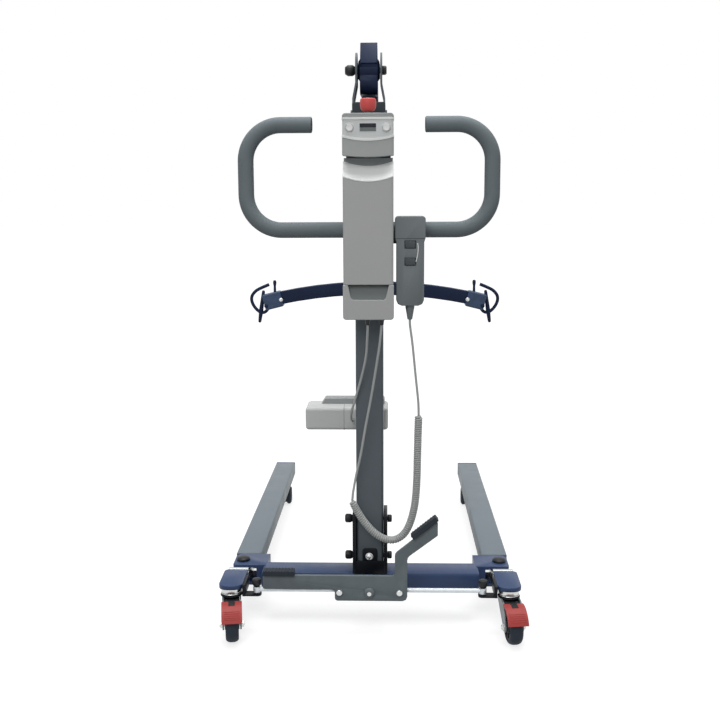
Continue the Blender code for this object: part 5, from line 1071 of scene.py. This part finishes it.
@dataclass
class LiftActuator:
    """Motor block with its low gear ledge, gear neck, barrel and end ring."""

    pivot: Point = (0, 92, 400)
    boom_eye: Pair = (150, -36)
    boom_pivot: float = 1210
    boom_slope: float = -32.0
    barrel_end: float = 470
    barrel_radius: float = 19
    lug_radius: float = 11
    lug_half: float = 13.3
    low: Point = (-148, 48, 424)
    high: Point = (40, 136, 476)
    seams: Pair = (-60, 18)
    seam_half: float = 0.4

    def build(self) -> None:
        """Build the housing in its rest pose."""
        low, high, body, proud = self.low, self.high, "actuator", 0.2
        Shape().box(at(*low), at(*high)).dress("motor_block", MOTOR_ABS, body, ["actuator_housing"], 7.5, 6)
        outline = rounded([(-118, 470, 0), (32, 470, 0), (32, 488.5, 4), (-106, 488.5, 4)], 5)
        Shape().plate(outline, high[1] - 42 + MAST_Y, high[1] - 4 + MAST_Y, Axis.Y).dress(
            "motor_ledge", TRIM_ABS, body, rounding=2)
        for i, x in enumerate(self.seams):
            Shape().box(at(x - self.seam_half, low[1] - proud, low[2] - proud),
                        at(x + self.seam_half, high[1] + proud, high[2] + proud)).dress(
                f"motor_seam_{i + 1}", SHADE_ABS, body, rounding=0.3)
        start = at(*self.pivot)
        slope = Matrix.Rotation(math.radians(self.boom_slope), 3, "X")
        eye = slope @ Vector((0, *self.boom_eye)) + at(0, 0, self.boom_pivot)
        axis = (eye - start).to_track_quat("Z", "Y").to_matrix().to_4x4()
        neck = [(0, 50), (30, 50), (30, 80), (26.5, 98), (23.5, 108), (20.5, 116), (0, 116)]
        ear, foot = self.lug_radius, low[2] + 6
        lug = [(start.y - ear, foot)] + arc((start.y, start.z), ear, 180, 360, 16) + [(start.y + ear, foot)]
        Shape().turned(neck, start, axis, 64).plate(lug, -self.lug_half, self.lug_half, Axis.X).dress(
            "gear_neck", TRIM_ABS, body, rounding=0.8)
        end, radius = self.barrel_end, self.barrel_radius
        barrel = [(0, 100), (radius - 1, 100), (radius - 1, end - 20), (radius, end - 19.5),
                  (radius, end - 1.5), (radius - 1.5, end), (11.8, end), (11.2, end - 2), (0, end - 2)]
        Shape().turned(barrel, start, axis, 64).dress("actuator_barrel", MOTOR_ABS, body)


@dataclass
class Fittings:
    """Small fittings: fork saddle, knuckle bosses, mast bolt, leg bolts, shims, boots, and on the pendant a
    painted shade under its head and a painted highlight beside its keys.
    """

    boom_pivot: float = 1210
    boss_half: float = 23.3
    boss_radius: float = 23.5
    mast_rear: float = -35
    tab_thick: float = 5.5
    mast_bolt: Pair = (-1.6, 156.7)
    leg_bolt: Pair = (296.5, 43)
    leg_top: float = 116.3
    shim_x: float = 299
    shim_half: float = 22.5
    stud: Pair = (246, -101.5)
    # Points of the pale streak painted as the highlight on the pendant's rounded face.
    highlight_streak: tuple[Pair, ...] = ((100.8, 853), (102, 847), (102.2, 838), (100.8, 827), (98, 815))

    def mast(self) -> None:
        """Build the saddle under the boom's fork, the tab and bolt on the mast, and the boom's boss."""
        Shape().box(at(-34.8, -36.2, 1115), at(34.8, 30, 1142.5)).dress(
            "fork_saddle", SADDLE_COAT, rounding=3, segments=4)
        rear = self.mast_rear
        outline = rounded([(-16.5, 140, 0), (16.5, 140, 0), (16.5, 174, 6), (-16.5, 174, 6)], 6)
        Shape().plate(outline, rear - self.tab_thick + MAST_Y, rear - 0.4 + MAST_Y, Axis.Y).dress(
            "mast_tab", BLACK_PAINT, rounding=1)
        bolt = [(0, 6.2), (4, 6), (6.2, 4.5), (6.8, 1.6), (8.5, 1.4), (8.5, 0), (0, 0)]
        x, z = self.mast_bolt
        Shape().turned(bolt, at(x, rear - self.tab_thick, z), REARWARD, 40).dress("mast_bolt", ZINC)
        half, radius = self.boss_half, self.boss_radius
        boss = [(6.4, -half), (radius * 0.45, -half), (radius * 0.78, -half + 1.4), (radius, -half + 4.8)]
        boss += [(r, -h) for r, h in reversed(boss)]
        Shape().turned(boss + [boss[0]], at(0, 0, self.boom_pivot), Axis.X.turn(), 64).dress(
            "boom_boss", NAVY_COAT, "boom", smooth=35.0)

    def legs(self) -> None:
        """Build the domed leg bolts, the bright shims before the heels and the rubber boots on the studs."""
        cap = [(0, 7.8), (7, 7.4), (12.8, 6.2), (15.5, 3.6), (15.8, 0.4), (5, 0.4), (5, -48), (0, -48)]
        boot = [(4, 113.2), (7.5, 113.2), (9.2, 114.8), (9.9, 117.5), (10, 124),
                (9.2, 126.4), (7.4, 127.5), (0, 127.5), (0, 123.5), (4, 123.5), (4, 113.2)]
        for side, sign in SIDES:
            x, y = sign * self.leg_bolt[0], self.leg_bolt[1]
            Shape().turned(cap, at(x, y, self.leg_top)).rod(at(x, y, 61.5), at(x, y, 68.2), 11.5, 6).dress(
                "leg_bolt_cap_" + side, BLACK_PLASTIC, replaces=["leg_pivot_bolt_" + side], rounding=0.5)
            x = sign * self.shim_x
            Shape().box(at(x - self.shim_half, -18.6, 109.8), at(x + self.shim_half, -8.2, 117.2)).dress(
                "heel_shim_" + side, ZINC, "leg_" + side, rounding=1.2)
            Shape().turned(boot, at(sign * self.stud[0], self.stud[1], 0), sides=40).dress(
                "stud_boot_" + side, BLACK_PLASTIC, "leg_" + side)

    def pendant(self) -> None:
        """Build a dark strip painted as the shade in the groove under the pendant's head, and a pale streak
        painted as the highlight beside its keys.
        """
        # Painted shade: a dark strip along the groove under the head.
        Shape().box(at(56, -108.3, 861.8), at(116, -106, 863.4)).dress(
            "pendant_groove_painted_shade", PENDANT_DARK_AND_SHADE, rounding=0.4)
        # Painted highlight: a pale streak on the rounded face beside the keys.
        Shape().tube(smooth_route([at(x, -108.1, z) for x, z in self.highlight_streak], 2), 1.1).dress(
            "pendant_painted_highlight_streak", PALE_ABS_AND_HIGHLIGHT, smooth=50.0)

    def build(self) -> None:
        """Build every fitting."""
        self.mast()
        self.legs()
        self.pendant()


# The CAD nodes whose shape is right: finish, body and the width of their rounded edges.
PLAIN_NODES: dict[str, tuple[Finish, str, float]] = {
    "base_frame": (BLUE_COAT, "base", 1.2),
    "mast_socket": (BLACK_PAINT, "base", 1),
    "mast_clamp_knob_lower": (BLACK_PLASTIC, "base", 1),
    "mast_clamp_knob_upper": (BLACK_PLASTIC, "base", 1),
    "mast_tube": (MAST_COAT, "base", 1.5),
    "mast_head_fork": (FORK_COAT, "base", 0.6),
    "boom_pivot_bolt": (BLACK_PLASTIC, "base", 1),
    "rocker_pivot_bolt": (ROCKER_COAT, "base", 0.5),
    "handle_saddle": (BLACK_PAINT, "base", 1),
    "control_backplate": (SHADE_ABS, "base", 0.8),
    "pendant_body": (PENDANT_ABS, "base", 1),
    "pedal_rocker": (ROCKER_COAT, "rocker", 1),
    "boom_tube": (NAVY_COAT, "boom", 1),
    "boom_rear_cap": (NAVY_COAT, "boom", 0.6),
    "boom_knuckle": (NAVY_COAT, "boom", 1.5),
    "boom_hanger": (NAVY_COAT, "hanger", 1),
    "spreader_bar": (NAVY_COAT, "spreader", 1.5),
    "actuator_rod": (CHROME, "actuator_ram", 0.5),
    "pendant_button_down": (PENDANT_DARK_AND_SHADE, "hand_button_down", 0.4),
    "pendant_button_up": (PENDANT_DARK_AND_SHADE, "hand_button_up", 0.4),
}
# The same for the nodes of each side, whose names and bodies end in left or right.
SIDE_NODES: dict[str, tuple[Finish, str, float]] = {
    "leg_tube_": (GREY_COAT, "leg_", 1),
    "leg_end_cap_": (BLUE_COAT, "leg_", 1),
    "leg_hinge_tongue_": (ZINC, "leg_", 0.6),
    "leg_heel_": (BLUE_COAT, "leg_", 1.2),
    "spread_lever_": (BLACK_PAINT, "leg_", 0.5),
    "tie_rod_": (ROD_STEEL, "link_rod_", 0.4),
    "front_caster_body_": (BLACK_PLASTIC, "front_caster_", 0.6),
    "front_caster_wheels_": (TYRE_RUBBER, "front_wheels_", 0.8),
}


def dress_plain_nodes() -> None:
    """Stand in for each CAD node whose shape is right, its edges rounded and its turned sides smooth."""
    nodes = dict(PLAIN_NODES)
    for side, _ in SIDES:
        nodes.update({name + side: (finish, body + side, width)
                      for name, (finish, body, width) in SIDE_NODES.items()})
    for node, (finish, body, width) in nodes.items():
        Shape.of_node(node).dress(node + "_finished", finish, body, [node], width, 2)


def main() -> None:
    """Load the frame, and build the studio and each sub-assembly."""
    logging.basicConfig(level=logging.INFO, format="%(message)s")
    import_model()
    Studio().build()
    Cords().build()
    hooks = [SlingHook(side, sign) for side, sign in SIDES]
    casters = [RearCaster(side, sign, yaw) for (side, sign), yaw in zip(SIDES, (9.0, 7.5))]
    for assembly in (ControlStack(), StopButton(), PushHandle(), *hooks, *casters, RockerPads(),
                     LiftActuator(), Fittings()):
        assembly.build()
    dress_plain_nodes()


if __name__ == "__main__":
    main()
